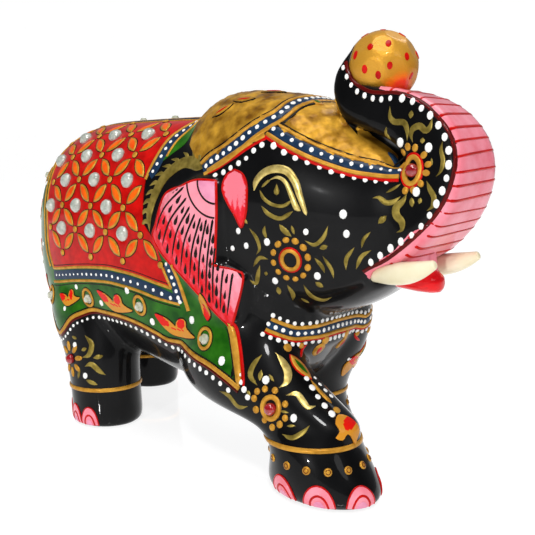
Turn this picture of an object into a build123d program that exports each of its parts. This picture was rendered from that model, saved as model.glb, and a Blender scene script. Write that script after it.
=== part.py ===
from build123d import *
import math
import os

# A carved and painted wooden elephant, trunk up, holding a ball against its curled tip.
# Millimetres. +X is forward, +Z up, the right side is -Y. The origin is on the ground,
# below the centre of the elephant's bounding box.

# ---- driving dimensions ---------------------------------------------------------------
HEIGHT = 127.0
HALF_WIDTH = 31.0
SQUARE = 2.5                 # exponent of the body's rounded-square cross-sections
OUTLINE_POINTS = 16          # points on each cross-section

# torso cross-sections: x, lowest z, highest z, half width
TORSO = [
    (-84.5, 52.0, 84.0, 11.0),
    (-81.0, 40.0, 92.0, 19.0),
    (-73.0, 29.0, 99.0, 25.5),
    (-60.0, 24.0, 104.5, 29.5),
    (-38.0, 24.0, 106.5, HALF_WIDTH),
    (-12.0, 20.0, 106.5, HALF_WIDTH),
    (8.0, 18.5, 105.0, 29.0),
    (22.0, 21.0, 99.0, 26.0),
    (34.0, 28.0, 84.0, 21.5),
    (43.0, 38.0, 66.0, 12.0),
]

# head cross-sections, from the neck to the root of the trunk
HEAD = [
    (-8.0, 60.0, 105.0, 20.0),
    (2.0, 46.0, 110.0, 24.5),
    (14.0, 44.0, 113.5, 26.5),
    (28.0, 45.0, 112.0, 26.5),
    (40.0, 46.5, 109.0, 24.5),
    (50.0, 49.0, 103.0, 21.0),
    (60.0, 54.0, 97.0, 17.5),
    (68.5, 61.5, 90.5, 15.0),
]

# trunk cross-sections: centre x, centre z, lean of its path from +X towards +Z, depth, width
TRUNK = [
    (62.0, 76.0, 10.0, 27.0, 31.0),
    (69.5, 78.5, 20.0, 24.0, 29.0),
    (76.8, 84.3, 50.0, 17.0, 26.0),
    (78.2, 92.0, 92.0, 15.4, 24.0),
    (71.8, 100.8, 132.0, 14.5, 22.5),
    (61.0, 105.3, 146.0, 13.0, 21.0),
    (54.0, 108.2, 128.0, 12.5, 20.0),
    (50.2, 113.0, 100.0, 8.5, 19.0),
    (50.9, 118.5, 72.0, 4.0, 18.0),
    (52.6, 123.5, 70.0, 2.2, 15.0),
]
TRUNK_CORNER = 0.13          # corner radius over the smaller side of a trunk section

# leg cross-sections from the top down: centre x, centre y, radius along x, along y.
# They stand LEG_STEP apart, the last one on the ground.
LEG_STEP = 8.0
SOLE_ROUNDING = 0.9
LEG_FRONT_RIGHT = [
    (14.0, -13.0, 20.0, 12.0),
    (14.5, -15.0, 20.5, 12.5),
    (17.0, -16.5, 21.5, 12.6),
    (21.5, -18.0, 24.5, 12.9),
    (28.5, -18.0, 28.5, 13.0),
    (47.0, -18.0, 14.6, 12.6),
    (50.8, -18.2, 15.4, 13.4),
    (52.0, -17.4, 15.0, 11.9),
]
LEG_FRONT_LEFT = [
    (25.0, 13.0, 18.0, 12.0),
    (26.0, 14.5, 18.0, 12.8),
    (26.0, 16.0, 17.0, 13.0),
    (24.5, 17.2, 15.5, 12.8),
    (22.0, 18.0, 13.5, 12.5),
    (20.0, 18.5, 12.0, 12.0),
    (20.0, 18.4, 13.8, 12.8),
    (20.4, 18.2, 13.4, 12.4),
]
LEG_HIND_RIGHT = [
    (-55.0, -14.0, 21.0, 13.5),
    (-54.0, -16.0, 20.5, 13.8),
    (-52.0, -17.5, 19.5, 13.6),
    (-49.5, -18.8, 17.5, 12.8),
    (-46.5, -19.6, 15.2, 12.2),
    (-44.5, -20.0, 13.6, 12.0),
    (-43.7, -20.0, 13.0, 12.0),
    (-43.7, -20.0, 13.2, 12.0),
]
LEG_HIND_LEFT = [
    (-60.0, 14.0, 21.0, 13.5),
    (-61.0, 16.0, 20.0, 13.8),
    (-62.5, 17.5, 18.5, 13.4),
    (-64.5, 18.6, 16.5, 12.8),
    (-66.5, 19.4, 14.6, 12.2),
    (-67.7, 19.8, 13.4, 12.0),
    (-68.0, 20.0, 13.0, 12.0),
    (-68.0, 20.0, 13.0, 12.0),
]

# ears: outline in x and z, laid on a flat face that leans in towards the brow.
# The front edge is cut straight with one step; the rear edge is one free curve.
EAR_FRONT = [(24.5, 45.5), (28.0, 48.0), (29.5, 59.5), (21.8, 62.5), (21.5, 86.5)]
EAR_REAR = [(21.5, 86.5), (13.5, 87.4), (5.5, 84.0), (-1.0, 77.0), (-2.5, 69.0),
            (7.0, 58.0), (16.5, 49.8), (24.5, 45.5)]
EAR_FACE = 31.4              # from the middle of the elephant to the ear's face, at x = 0
EAR_LEAN = 6.0               # degrees
EAR_DEPTH = 9.0

# ball, seated against the outside of the curled tip
BALL_RADIUS = 9.8
BALL_X = 56.9
BALL_Z = HEIGHT - BALL_RADIUS

# tusk cross-sections from the root inside the cheek to the tip: x, y, z, radius
TUSK = [
    (57.0, 8.2, 61.3, 1.9),
    (62.0, 9.7, 61.8, 2.4),
    (67.0, 11.0, 62.3, 2.9),
    (72.0, 12.0, 63.0, 3.0),
    (77.0, 12.6, 64.4, 2.3),
    (81.2, 12.8, 66.2, 1.1),
]
TUSK_TIP_ROUNDING = 0.8

# lower lip cross-sections from the throat to its point: x, z, half width, half height
LOWER_LIP = [
    (56.0, 59.6, 7.4, 3.4),
    (61.0, 60.4, 7.2, 3.2),
    (66.0, 60.4, 6.8, 3.2),
    (71.0, 60.0, 5.6, 3.2),
    (75.6, 59.4, 2.8, 2.1),
]

# tail cross-sections from the root down: x, z, half width, half depth
TAIL = [
    (-78.0, 90.0, 3.2, 3.2),
    (-82.4, 78.0, 4.0, 3.2),
    (-83.4, 66.0, 3.6, 2.8),
    (-83.2, 54.0, 3.2, 2.8),
    (-80.6, 42.0, 3.8, 3.2),
    (-75.6, 32.0, 2.0, 2.0),
]

# stones: radius, depth of the seat below the wood, height of the edge and of the crown
PEARL = (2.45, 0.7, 0.45, 1.5)
RHINESTONE = (1.6, 0.7, 0.35, 1.1)
RUBY = (1.75, 0.7, 0.4, 1.3)

# the saddle cloth's lattice: rows of cells, each half a pitch along from the last
LATTICE_X = -18.2
LATTICE_PITCH = 17.0
BARREL_AXIS_Z = 66.0         # the rows are counted as angles about this height
PEARL_ROWS = [               # elevation in degrees, first cell, cells
    (6.0, 0.0, 3),
    (20.5, 0.5, 3),
    (35.0, 0.0, 3),
    (48.0, 0.5, 3),
    (60.5, 0.0, 3),
]
BORDER_STONES = [(16.0, 40.0), (-12.3, 46.3), (-40.6, 45.4), (-63.0, 44.0)]
SPINE_STONES = [-9.0, -26.7, -43.7, -60.7]
RUMP_STONES = [54.0, 71.0, 87.0]
RUMP_STONE_Y = 19.0
TRUNK_RUBY = (73.7, 89.3)
SHOULDER_RUBY = (41.5, 24.4)
SHOULDER_RUBY_LEFT = (24.0, 27.0)
HIND_RUBY = (-48.5, 23.3)
HIND_RUBY_LEFT = (-69.0, 23.3)
FACETS = 10
TABLE = 0.55                 # flat top of a faceted stone, over its radius
SEAT_CLEAR = 1.5             # how far above the wood a seat is cut clear
FAR = 150.0                  # further out than any of the carving

STANDING = (Align.CENTER, Align.CENTER, Align.MIN)

os.makedirs("parts", exist_ok=True)


def sgn_pow(value, power):
    return math.copysign(abs(value) ** power, value)


def rounded_section(half_width, half_height):
    """Points of a rounded square, half_width by half_height."""
    points = []
    for i in range(OUTLINE_POINTS):
        angle = 2.0 * math.pi * i / OUTLINE_POINTS
        across = half_width * sgn_pow(math.cos(angle), 2.0 / SQUARE)
        up = half_height * sgn_pow(math.sin(angle), 2.0 / SQUARE)
        points.append((across, up))
    return points


def barrel(sections):
    """A block lofted through rounded sections that stand across the X axis."""
    with BuildPart() as block:
        for x, low, high, half_width in sections:
            middle = (low + high) / 2.0
            with BuildSketch(Plane((x, 0, middle), x_dir=(0, 1, 0), z_dir=(1, 0, 0))):
                with BuildLine():
                    Spline(*rounded_section(half_width, (high - low) / 2.0), periodic=True)
                make_face()
        loft()
    return block.part


def leg(sections):
    with BuildPart() as limb:
        for step, (x, y, along, across) in enumerate(reversed(sections)):
            with BuildSketch(Plane((x, y, step * LEG_STEP))):
                Ellipse(along, across)
        loft()
        fillet(limb.edges().group_by(Axis.Z)[0], radius=SOLE_ROUNDING)
    return limb.part


def trunk():
    with BuildPart() as curl:
        for x, z, lean, depth, width in TRUNK:
            forward = (math.cos(math.radians(lean)), 0, math.sin(math.radians(lean)))
            with BuildSketch(Plane((x, 0, z), x_dir=(0, 1, 0), z_dir=forward)):
                RectangleRounded(width, depth, TRUNK_CORNER * min(width, depth))
        loft()
    return curl.part


def ear(side):
    """One ear plate, standing out from the neck; side is -1 on the right, 1 on the left."""
    lean = math.radians(EAR_LEAN)
    forward = (math.cos(lean), -side * math.sin(lean), 0)
    rightward = (-side * math.sin(lean), -math.cos(lean), 0)
    with BuildPart() as plate:
        with BuildSketch(Plane((0, side * EAR_FACE, 0), x_dir=forward, z_dir=rightward)):
            with BuildLine():
                Polyline(*EAR_FRONT)
                Spline(*EAR_REAR)
            make_face()
        extrude(amount=side * EAR_DEPTH)
    return plate.part


def lower_lip():
    with BuildPart() as lip:
        for x, z, half_width, half_height in LOWER_LIP:
            with BuildSketch(Plane((x, 0, z), x_dir=(0, 1, 0), z_dir=(1, 0, 0))):
                Ellipse(half_width, half_height)
        loft()
    return lip.part


def tail():
    with BuildPart() as hanging:
        for x, z, half_width, half_depth in TAIL:
            with BuildSketch(Plane((x, 0, z))):
                Ellipse(half_depth, half_width)
        loft()
    return hanging.part


def tusk(side):
    """One tusk, its plain round root standing in a socket in the cheek."""
    with BuildPart() as horn:
        for i, (x, y, z, radius) in enumerate(TUSK):
            before = TUSK[max(i - 1, 0)]
            after = TUSK[min(i + 1, len(TUSK) - 1)]
            along = (after[0] - before[0], side * (after[1] - before[1]), after[2] - before[2])
            with BuildSketch(Plane((x, side * y, z), x_dir=(0, 1, 0), z_dir=along)):
                Circle(radius)
        loft()
        fillet(horn.faces().sort_by(Axis.X)[-1].edges(), radius=TUSK_TIP_ROUNDING)
    return horn.part


def domed_stone(radius, depth, edge, crown):
    """A round stone with a flat back and a domed crown; z = 0 is the wood around it."""
    dome_radius = (radius**2 + crown**2) / (2.0 * crown)
    latitude = math.degrees(math.asin((dome_radius - crown) / dome_radius))
    with BuildPart() as stone:
        with Locations((0, 0, -depth)):
            Cylinder(radius, depth + edge, align=STANDING)
        with Locations((0, 0, edge)):
            Sphere(dome_radius, arc_size1=latitude, align=STANDING)
    return stone.part


def faceted_stone(radius, depth, edge, crown):
    """A round drum with a ring of facets rising to a small flat table."""
    with BuildPart() as stone:
        with BuildSketch(Plane.XY.offset(-depth)):
            Circle(radius)
        extrude(amount=depth + edge)
        with BuildSketch(Plane.XY.offset(edge)):
            RegularPolygon(radius, FACETS)
        with BuildSketch(Plane.XY.offset(edge + crown)):
            RegularPolygon(TABLE * radius, FACETS)
        loft(ruled=True)
    return stone.part


def seat_on(shell, start, direction):
    """Where a stone sits: the first wood met from start along direction, facing out."""
    ray = Axis(start, direction)
    for point, normal in shell.find_intersection_points(ray):
        if (point - ray.position).dot(ray.direction) > 0:
            outward = normal if normal.dot(ray.direction) < 0 else normal * -1
            return Plane(origin=point, z_dir=outward).location
    raise ValueError("no wood in the way of the stone")


def side_seat(shell, side, x, z):
    return seat_on(shell, (x, side * FAR, z), (0, -side, 0))


def lattice_seat(shell, side, x, elevation):
    up = math.sin(math.radians(elevation))
    out = side * math.cos(math.radians(elevation))
    return seat_on(shell, (x, FAR * out, BARREL_AXIS_Z + FAR * up), (0, -out, -up))


def row_seats(shell, side, elevation, first, cells):
    seats = []
    for i in range(cells):
        x = LATTICE_X - LATTICE_PITCH * (first + i)
        seats.append(lattice_seat(shell, side, x, elevation))
    return seats


# ---- ball and tusks: separate turned pieces, glued in -----------------------------------
with BuildPart() as ball:
    with Locations((BALL_X, 0, BALL_Z)):
        Sphere(BALL_RADIUS)

horn_right = tusk(-1)
horn_left = tusk(1)
with BuildPart() as tusk_right:
    add(horn_right)

with BuildPart() as tusk_left:
    add(horn_left)

# ---- the carving before the stone seats are drilled --------------------------------------
carvings = [barrel(TORSO), barrel(HEAD), trunk()]
for sections in (LEG_FRONT_RIGHT, LEG_FRONT_LEFT, LEG_HIND_RIGHT, LEG_HIND_LEFT):
    carvings.append(leg(sections))
carvings += [ear(-1), ear(1), lower_lip(), tail()]
with BuildPart() as blank:
    for carving in carvings:
        add(carving)
    add(ball.part, mode=Mode.SUBTRACT)
    add(tusk_right.part, mode=Mode.SUBTRACT)
    add(tusk_left.part, mode=Mode.SUBTRACT)

skin = blank.part.shells()[0]

# ---- where the stones sit -----------------------------------------------------------------
pearl_seats = {}
border_seats = {}
ruby_seats = {}
rump_seats = {}
for side, name in ((-1, "right"), (1, "left")):
    for number, (elevation, first, cells) in enumerate(PEARL_ROWS, start=1):
        pearl_seats[f"saddle_pearls_{name}_{number}"] = row_seats(
            skin, side, elevation, first, cells)
    border_seats[f"border_rhinestones_{name}"] = [
        side_seat(skin, side, x, z) for x, z in BORDER_STONES]
    rump_seats[f"rump_rhinestones_{name}"] = [
        seat_on(skin, (-FAR, side * RUMP_STONE_Y, z), (1, 0, 0)) for z in RUMP_STONES]
    ruby_seats[f"trunk_ruby_{name}"] = [side_seat(skin, side, *TRUNK_RUBY)]

ruby_seats["shoulder_ruby_right"] = [side_seat(skin, -1, *SHOULDER_RUBY)]
ruby_seats["shoulder_ruby_left"] = [side_seat(skin, 1, *SHOULDER_RUBY_LEFT)]
ruby_seats["hind_ruby_right"] = [side_seat(skin, -1, *HIND_RUBY)]
ruby_seats["hind_ruby_left"] = [side_seat(skin, 1, *HIND_RUBY_LEFT)]

spine_seats = {
    "spine_rhinestones": [seat_on(skin, (x, 0, FAR), (0, 0, -1)) for x in SPINE_STONES]}

# ---- stones, one node for each row or place -----------------------------------------------
stone_kinds = (
    (domed_stone(*PEARL), pearl_seats),
    (faceted_stone(*RHINESTONE), border_seats | rump_seats | spine_seats),
    (domed_stone(*RUBY), ruby_seats),
)
drilled = []
for (stone, places), (radius, depth, *_) in zip(stone_kinds, (PEARL, RHINESTONE, RUBY)):
    for name, seats in places.items():
        drilled.append((radius, depth, [seat * Pos(0, 0, -depth) for seat in seats]))
        with BuildPart() as stones:
            with Locations(*seats):
                add(stone)
        stones.part.label = name
        export_step(stones.part, f"parts/{name}.step")

# ---- the carved body, with a flat-bottomed seat for every stone ---------------------------
with BuildPart() as carved_body:
    add(blank.part)
    for radius, depth, seats in drilled:
        with Locations(*seats):
            Cylinder(radius, depth + SEAT_CLEAR, align=STANDING, mode=Mode.SUBTRACT)

carved_body.part.label = "carved_body"
export_step(carved_body.part, "parts/carved_body.step")
ball.part.label = "ball"
export_step(ball.part, "parts/ball.step")
tusk_right.part.label = "tusk_right"
export_step(tusk_right.part, "parts/tusk_right.step")
tusk_left.part.label = "tusk_left"
export_step(tusk_left.part, "parts/tusk_left.step")

print("body valid", carved_body.part.is_valid, "box", carved_body.part.bounding_box())
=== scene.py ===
import math
import random

import bpy
import numpy as np
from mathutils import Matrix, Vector
from mathutils.bvhtree import BVHTree
from mathutils.geometry import delaunay_2d_cdt


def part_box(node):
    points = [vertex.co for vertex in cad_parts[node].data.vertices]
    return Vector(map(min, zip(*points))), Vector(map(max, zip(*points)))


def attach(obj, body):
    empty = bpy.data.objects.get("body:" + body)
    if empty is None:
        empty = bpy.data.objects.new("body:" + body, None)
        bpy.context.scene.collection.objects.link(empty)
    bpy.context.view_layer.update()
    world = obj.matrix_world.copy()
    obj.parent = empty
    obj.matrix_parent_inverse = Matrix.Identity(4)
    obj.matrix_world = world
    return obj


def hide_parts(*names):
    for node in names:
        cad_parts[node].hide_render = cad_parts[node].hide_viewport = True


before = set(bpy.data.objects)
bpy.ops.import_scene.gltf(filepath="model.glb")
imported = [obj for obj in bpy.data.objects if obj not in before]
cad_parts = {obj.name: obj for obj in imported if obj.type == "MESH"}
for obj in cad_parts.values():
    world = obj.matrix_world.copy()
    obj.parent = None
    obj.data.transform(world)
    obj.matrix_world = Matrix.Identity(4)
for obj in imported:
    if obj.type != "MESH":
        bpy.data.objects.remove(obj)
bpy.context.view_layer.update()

# A carved wooden elephant: black lacquer skin, hand-painted cloth, headdress, flowers and
# dots in raised paint, glass stones from the frame. Sizes are in millimetres but for the
# studio's, which are in metres; x runs towards the face, y towards the elephant's left, z up.
# Paint is laid out on the right side (y below zero), and both_sides() repeats it on the left.
MM = 0.001
SKIN_VOXEL = 0.7
SKIN_PASSES = 26
SKIN_KEEP, SKIN_PULL = 0.45, 0.55
SOLE_HEIGHT = 0.6
FAR = 150.0
SUNK = 0.3
RIGHT, LEFT = 1, -1
PAINT_SHINE = 0.06
VARNISH_IOR = 1.20
VARNISH_ROUGHNESS = 0.05
GLASS_IOR = 1.55
rng = random.Random(7)


# ---- materials
def node_material(name):
    material = bpy.data.materials.new(name)
    material.use_nodes = True
    tree = material.node_tree
    return material, tree, tree.nodes["Principled BSDF"]


def set_inputs(node, **values):
    """Sets inputs by name, with _ for each space."""
    for name, value in values.items():
        node.inputs[name.replace("_", " ")].default_value = value


def noise_node(tree, scale, detail=3.0):
    where = tree.nodes.new("ShaderNodeTexCoord")
    node = tree.nodes.new("ShaderNodeTexNoise")
    set_inputs(node, Scale=scale, Detail=detail)
    tree.links.new(where.outputs["Object"], node.inputs["Vector"])
    return node.outputs["Fac"]


def math_node(tree, operation):
    node = tree.nodes.new("ShaderNodeMath")
    node.operation = operation
    return node


def ramp(tree, source, stops):
    node = tree.nodes.new("ShaderNodeValToRGB")
    band = node.color_ramp
    while len(band.elements) < len(stops):
        band.elements.new(0.5)
    for element, (place, colour) in zip(band.elements, stops):
        element.position = place
        element.color = (*colour, 1.0)
    tree.links.new(source, node.inputs["Fac"])
    return node.outputs["Color"]


def bump(tree, shader, layers):
    last = None
    for scale, depth in layers:
        node = tree.nodes.new("ShaderNodeBump")
        set_inputs(node, Strength=1.0, Distance=depth * MM)
        tree.links.new(noise_node(tree, scale, 2.0), node.inputs["Height"])
        if last is not None:
            tree.links.new(last, node.inputs["Normal"])
        last = node.outputs["Normal"]
    tree.links.new(last, shader.inputs["Normal"])


def varnish(tree, shader, rough, coat, metal, bumps):
    """Paint of its own roughness under a thin clear coat, with brush marks."""
    set_inputs(shader, Roughness=rough, Metallic=metal, Specular_IOR_Level=PAINT_SHINE)
    set_inputs(shader, Coat_IOR=VARNISH_IOR, Coat_Weight=coat, Coat_Roughness=VARNISH_ROUGHNESS)
    bump(tree, shader, bumps)


def paint_material(name, dark, light, rough=0.3, coat=0.7, metal=0.0, scale=260.0, bumps=((300.0, 0.03),)):
    material, tree, shader = node_material(name)
    tone = noise_node(tree, scale)
    tree.links.new(ramp(tree, tone, [(0.32, dark), (0.68, light)]), shader.inputs["Base Color"])
    varnish(tree, shader, rough, coat, metal, bumps)
    return material


def toned_material(name, stops, streak, rough=0.25, metal=0.0, bumps=((320.0, 0.03),)):
    """Colour runs along the piece's own 0 to 1 tone, broken up by brush streaks."""
    material, tree, shader = node_material(name)
    tone = tree.nodes.new("ShaderNodeAttribute")
    tone.attribute_name = "tone"
    wobble = math_node(tree, "MULTIPLY_ADD")
    tree.links.new(noise_node(tree, 420.0), wobble.inputs[0])
    wobble.inputs[1].default_value = streak * 2
    wobble.inputs[2].default_value = -streak
    total = math_node(tree, "ADD")
    total.use_clamp = True
    tree.links.new(tone.outputs["Fac"], total.inputs[0])
    tree.links.new(wobble.outputs[0], total.inputs[1])
    tree.links.new(ramp(tree, total.outputs[0], stops), shader.inputs["Base Color"])
    varnish(tree, shader, rough, 0.7, metal, bumps)
    return material


def glass_material(name, deep, clear, rough, transmission):
    material, tree, shader = node_material(name)
    tone = noise_node(tree, 700.0)
    tree.links.new(ramp(tree, tone, [(0.35, deep), (0.65, clear)]), shader.inputs["Base Color"])
    set_inputs(shader, Roughness=rough, IOR=GLASS_IOR, Transmission_Weight=transmission)
    set_inputs(shader, Coat_Weight=1.0, Coat_Roughness=0.02)
    return material


PINK = (0.80, 0.185, 0.240)
PALE_PINK = (0.88, 0.300, 0.370)

# by finish: the material's name, dark and light colours, then what differs from plain enamel
PAINTS = {
    "lacquer": ("black_lacquer", (0.0020, 0.0020, 0.0022), (0.0044, 0.0044, 0.0048),
                dict(rough=0.35, coat=1.0, scale=90.0, bumps=((70.0, 0.10), (1500.0, 0.012)))),
    "red": ("red_enamel", (0.38, 0.002, 0.001), (0.60, 0.005, 0.003), {}),
    "darkred": ("dark_red_enamel", (0.060, 0.002, 0.002), (0.110, 0.004, 0.003), {}),
    "navy": ("navy_enamel", (0.007, 0.020, 0.050), (0.015, 0.040, 0.085), {}),
    "green": ("green_enamel", (0.004, 0.058, 0.002), (0.026, 0.150, 0.007), dict(scale=170.0)),
    "orange": ("orange_enamel", (0.76, 0.070, 0.003), (0.88, 0.150, 0.006), {}),
    "white": ("white_enamel", (0.84, 0.84, 0.81), (0.93, 0.93, 0.91), dict(scale=500.0)),
    "black": ("black_line", (0.006, 0.005, 0.004), (0.013, 0.010, 0.008), dict(rough=0.35, coat=0.3)),
    "ochre": ("orange_gold_paint", (0.41, 0.185, 0.018), (0.62, 0.315, 0.042),
              dict(rough=0.36, coat=0.3, metal=0.25, scale=420.0, bumps=((500.0, 0.04),))),
    "olive": ("olive_gold_paint", (0.135, 0.098, 0.016), (0.34, 0.255, 0.055),
              dict(rough=0.38, coat=0.3, metal=0.45, scale=380.0, bumps=((520.0, 0.04),))),
    "bright": ("bright_gold_paint", (0.42, 0.30, 0.075), (0.78, 0.62, 0.22),
               dict(rough=0.30, coat=0.35, metal=0.6, scale=520.0, bumps=((620.0, 0.05),))),
    "foil": ("embossed_gold", (0.17, 0.066, 0.003), (0.70, 0.370, 0.036),
             dict(rough=0.40, coat=0.35, metal=0.35, scale=210.0, bumps=((190.0, 0.22), (640.0, 0.05)))),
    "pink": ("pink_enamel", PINK, PALE_PINK, dict(scale=180.0)),
    "mauve": ("mauve_pink", (0.68, 0.22, 0.36), (0.82, 0.33, 0.46), dict(scale=200.0)),
    "tongue": ("tongue_red", (0.60, 0.006, 0.010), (0.78, 0.018, 0.020), dict(coat=0.9, rough=0.15)),
    "ivory": ("ivory_paint", (0.78, 0.70, 0.46), (0.86, 0.80, 0.60), dict(rough=0.28, scale=150.0)),
}
# by finish: the name, the colour at each tone, the strength of the brush streaks, then the rest
TONED = {
    "ear": (
        "ear_pink",
        [(0.0, (0.66, 0.006, 0.010)), (0.30, (0.76, 0.040, 0.065)), (0.42, PINK), (1.0, PALE_PINK)],
        0.30, {},
    ),
    "tear": (
        "tear_pink",
        [(0.0, (0.10, 0.004, 0.004)), (0.14, (0.72, 0.010, 0.016)), (0.40, (0.78, 0.02, 0.04)),
         (0.52, PINK), (1.0, PINK)],
        0.22, {},
    ),
    "leaf": (
        "leaf_gold_red",
        [(0.0, (0.58, 0.230, 0.018)), (0.52, (0.62, 0.260, 0.024)), (0.66, (0.68, 0.020, 0.006)),
         (1.0, (0.68, 0.008, 0.004))],
        0.10, {},
    ),
    # the ball's gold; its low tones are red-orange, a painted reflection of the trunk's pink
    "ball": (
        "ball_gold",
        [(0.0, (0.86, 0.070, 0.025)), (0.20, (0.80, 0.170, 0.008)), (0.5, (0.56, 0.235, 0.014)),
         (1.0, (0.58, 0.285, 0.030))],
        0.14, dict(rough=0.40, metal=0.30, bumps=((420.0, 0.05), (1900.0, 0.08))),
    ),
}
# by finish: the name, deep and clear colours, roughness, transmission
GLASSES = {
    "pearl": ("pearl_glass", (0.34, 0.37, 0.32), (0.56, 0.58, 0.51), 0.12, 0.10),
    "clear": ("clear_glass", (0.60, 0.62, 0.44), (0.93, 0.93, 0.80), 0.03, 0.35),
    "ruby": ("red_glass", (0.30, 0.004, 0.008), (0.55, 0.010, 0.020), 0.03, 0.3),
}


def make_materials():
    made = {finish: paint_material(*row, **more) for finish, (*row, more) in PAINTS.items()}
    made.update((finish, toned_material(*row, **more)) for finish, (*row, more) in TONED.items())
    made.update((finish, glass_material(*row)) for finish, row in GLASSES.items())
    return made


MATERIALS = make_materials()


# ---- skin
def mesh_arrays(mesh):
    place = np.empty(len(mesh.vertices) * 3)
    mesh.vertices.foreach_get("co", place)
    return place.reshape(-1, 3)


def add_object(name, points, faces):
    mesh = bpy.data.meshes.new(name)
    mesh.from_pydata(points, [], faces)
    obj = bpy.data.objects.new(name, mesh)
    bpy.context.scene.collection.objects.link(obj)
    return obj


def smooth_shade(mesh):
    mesh.polygons.foreach_set("use_smooth", [True] * len(mesh.polygons))


def dress(mesh, finish):
    mesh.materials.clear()
    mesh.materials.append(MATERIALS[finish])


def add_painted(name, points, faces, tones, finish):
    """A smooth object from points in millimetres, with a tone at each point."""
    obj = add_object(name, [tuple(c * MM for c in p) for p in points], faces)
    tone = obj.data.attributes.new("tone", "FLOAT", "POINT")
    tone.data.foreach_set("value", np.array(tones, np.float32))
    smooth_shade(obj.data)
    dress(obj.data, finish)
    return obj


def heading(azimuth, elevation):
    """The way at an azimuth from the face towards the left and an elevation, in radians."""
    level = math.cos(elevation)
    return np.array((level * math.cos(azimuth), level * math.sin(azimuth), math.sin(elevation)))


def evaluated_copy(obj):
    graph = bpy.context.evaluated_depsgraph_get()
    return bpy.data.meshes.new_from_object(obj.evaluated_get(graph))


def make_skin():
    """The lacquered wood as one smooth carved surface, close to the frame's body."""
    skin = bpy.data.objects.new("skin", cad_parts["carved_body"].data.copy())
    bpy.context.scene.collection.objects.link(skin)
    remesh = skin.modifiers.new("remesh", "REMESH")
    remesh.mode = "VOXEL"
    remesh.voxel_size = SKIN_VOXEL * MM
    mesh = evaluated_copy(skin)
    skin.modifiers.clear()
    skin.data = mesh
    place = mesh_arrays(mesh)
    pairs = np.empty(len(mesh.edges) * 2, dtype=np.int64)
    mesh.edges.foreach_get("vertices", pairs)
    first, second = pairs.reshape(-1, 2).T
    total = len(place)
    degree = np.bincount(first, minlength=total) + np.bincount(second, minlength=total)
    for _ in range(SKIN_PASSES):
        for axis in range(3):
            line = place[:, axis]
            summed = np.bincount(first, weights=line[second], minlength=total)
            summed += np.bincount(second, weights=line[first], minlength=total)
            place[:, axis] = SKIN_KEEP * line + SKIN_PULL * summed / degree
    place[:, 2] = np.where(place[:, 2] < SOLE_HEIGHT * MM, np.maximum(place[:, 2], 0.0), place[:, 2])
    mesh.vertices.foreach_set("co", place.ravel())
    mesh.update()
    return skin


SKIN = make_skin()


class Surface:
    """Finds places on the skin, in millimetres, with smooth normals."""

    def __init__(self, mesh):
        self.place = mesh_arrays(mesh) / MM
        normals = np.empty(len(mesh.vertices) * 3)
        mesh.vertices.foreach_get("normal", normals)
        self.normals = normals.reshape(-1, 3)
        self.faces = [tuple(p.vertices) for p in mesh.polygons]
        self.tree = BVHTree.FromPolygons(self.place.tolist(), self.faces)
        self.side = RIGHT

    def smooth(self, found):
        point, _, face, _ = found
        near = self.faces[face]
        gap = np.array([(self.place[i] - point) for i in near])
        weight = 1.0 / (np.sqrt((gap * gap).sum(1)) + 0.05)
        normal = (self.normals[list(near)] * weight[:, None]).sum(0)
        normal /= np.linalg.norm(normal)
        flip = np.array((1.0, self.side, 1.0))
        return np.array(point) * flip, normal * flip

    def near(self, point):
        return self.smooth(self.tree.find_nearest((point[0], point[1] * self.side, point[2])))

    def ray(self, start, way):
        flipped = Vector((start[0], start[1] * self.side, start[2]))
        found = self.tree.ray_cast(flipped, Vector((way[0], way[1] * self.side, way[2])).normalized())
        if found[0] is None:
            return self.near(np.array(start) + np.array(way) * FAR)
        return self.smooth(found)


SURFACE = Surface(SKIN.data)


# ---- maps from (u, v) to the skin
TORSO_Z = 66.0
TORSO_END = -55.0
TORSO_R = 30.0


def torso(u, v):
    """u along the body, v the angle up from level; behind TORSO_END it bends round the rump."""
    lean = max(0.0, (TORSO_END - u) / TORSO_R)
    tilt = math.radians(v)
    way = np.array((-math.sin(lean), -math.cos(lean) * math.cos(tilt), math.cos(lean) * math.sin(tilt)))
    centre = np.array((max(u, TORSO_END), 0.0, TORSO_Z))
    return SURFACE.ray(centre + way * FAR, -way)


def side_on(u, v):
    return SURFACE.ray((u, -FAR, v), (0.0, 1.0, 0.0))


OBLIQUE_X, OBLIQUE_Y = 0.8, 0.6


def oblique(u, v):
    """u towards the front and the left, v up, seen from the right and a little in front."""
    start = (OBLIQUE_X * u + OBLIQUE_Y * FAR, OBLIQUE_Y * u - OBLIQUE_X * FAR, v)
    return SURFACE.ray(start, (-OBLIQUE_Y, OBLIQUE_X, 0.0))


def from_behind(u, v):
    return SURFACE.ray((-FAR, u, v), (1.0, 0.0, 0.0))


def axes_at(centre, ahead):
    """A place on the skin, its normal, and the ways along and across it."""
    middle, normal = SURFACE.near(centre)
    way = unit(np.array(ahead, float) - normal * np.dot(ahead, normal))
    return middle, normal, way, np.cross(normal, way)


def tangent(centre, ahead):
    """A map of (along, across) about one place on the skin."""
    middle, _, way, across = axes_at(centre, ahead)
    return lambda a, c: SURFACE.near(middle + way * a + across * c)


CROWN_TILT = math.radians(48.0)
CROWN_Y, CROWN_Z = -20.0, 95.0
CROWN_REACH = 40.0


def crown(u, v):
    """u along the head, v up a plane that leans back from the right side."""
    across = np.array((0.0, math.sin(CROWN_TILT), math.cos(CROWN_TILT)))
    way = np.array((0.0, math.cos(CROWN_TILT), -math.sin(CROWN_TILT)))
    return SURFACE.ray(np.array((u, CROWN_Y, CROWN_Z)) + across * v - way * CROWN_REACH, way)


TRUNK_CENTRE = (67.0, 88.0)
TRUNK_REACH = 60.0


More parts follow.
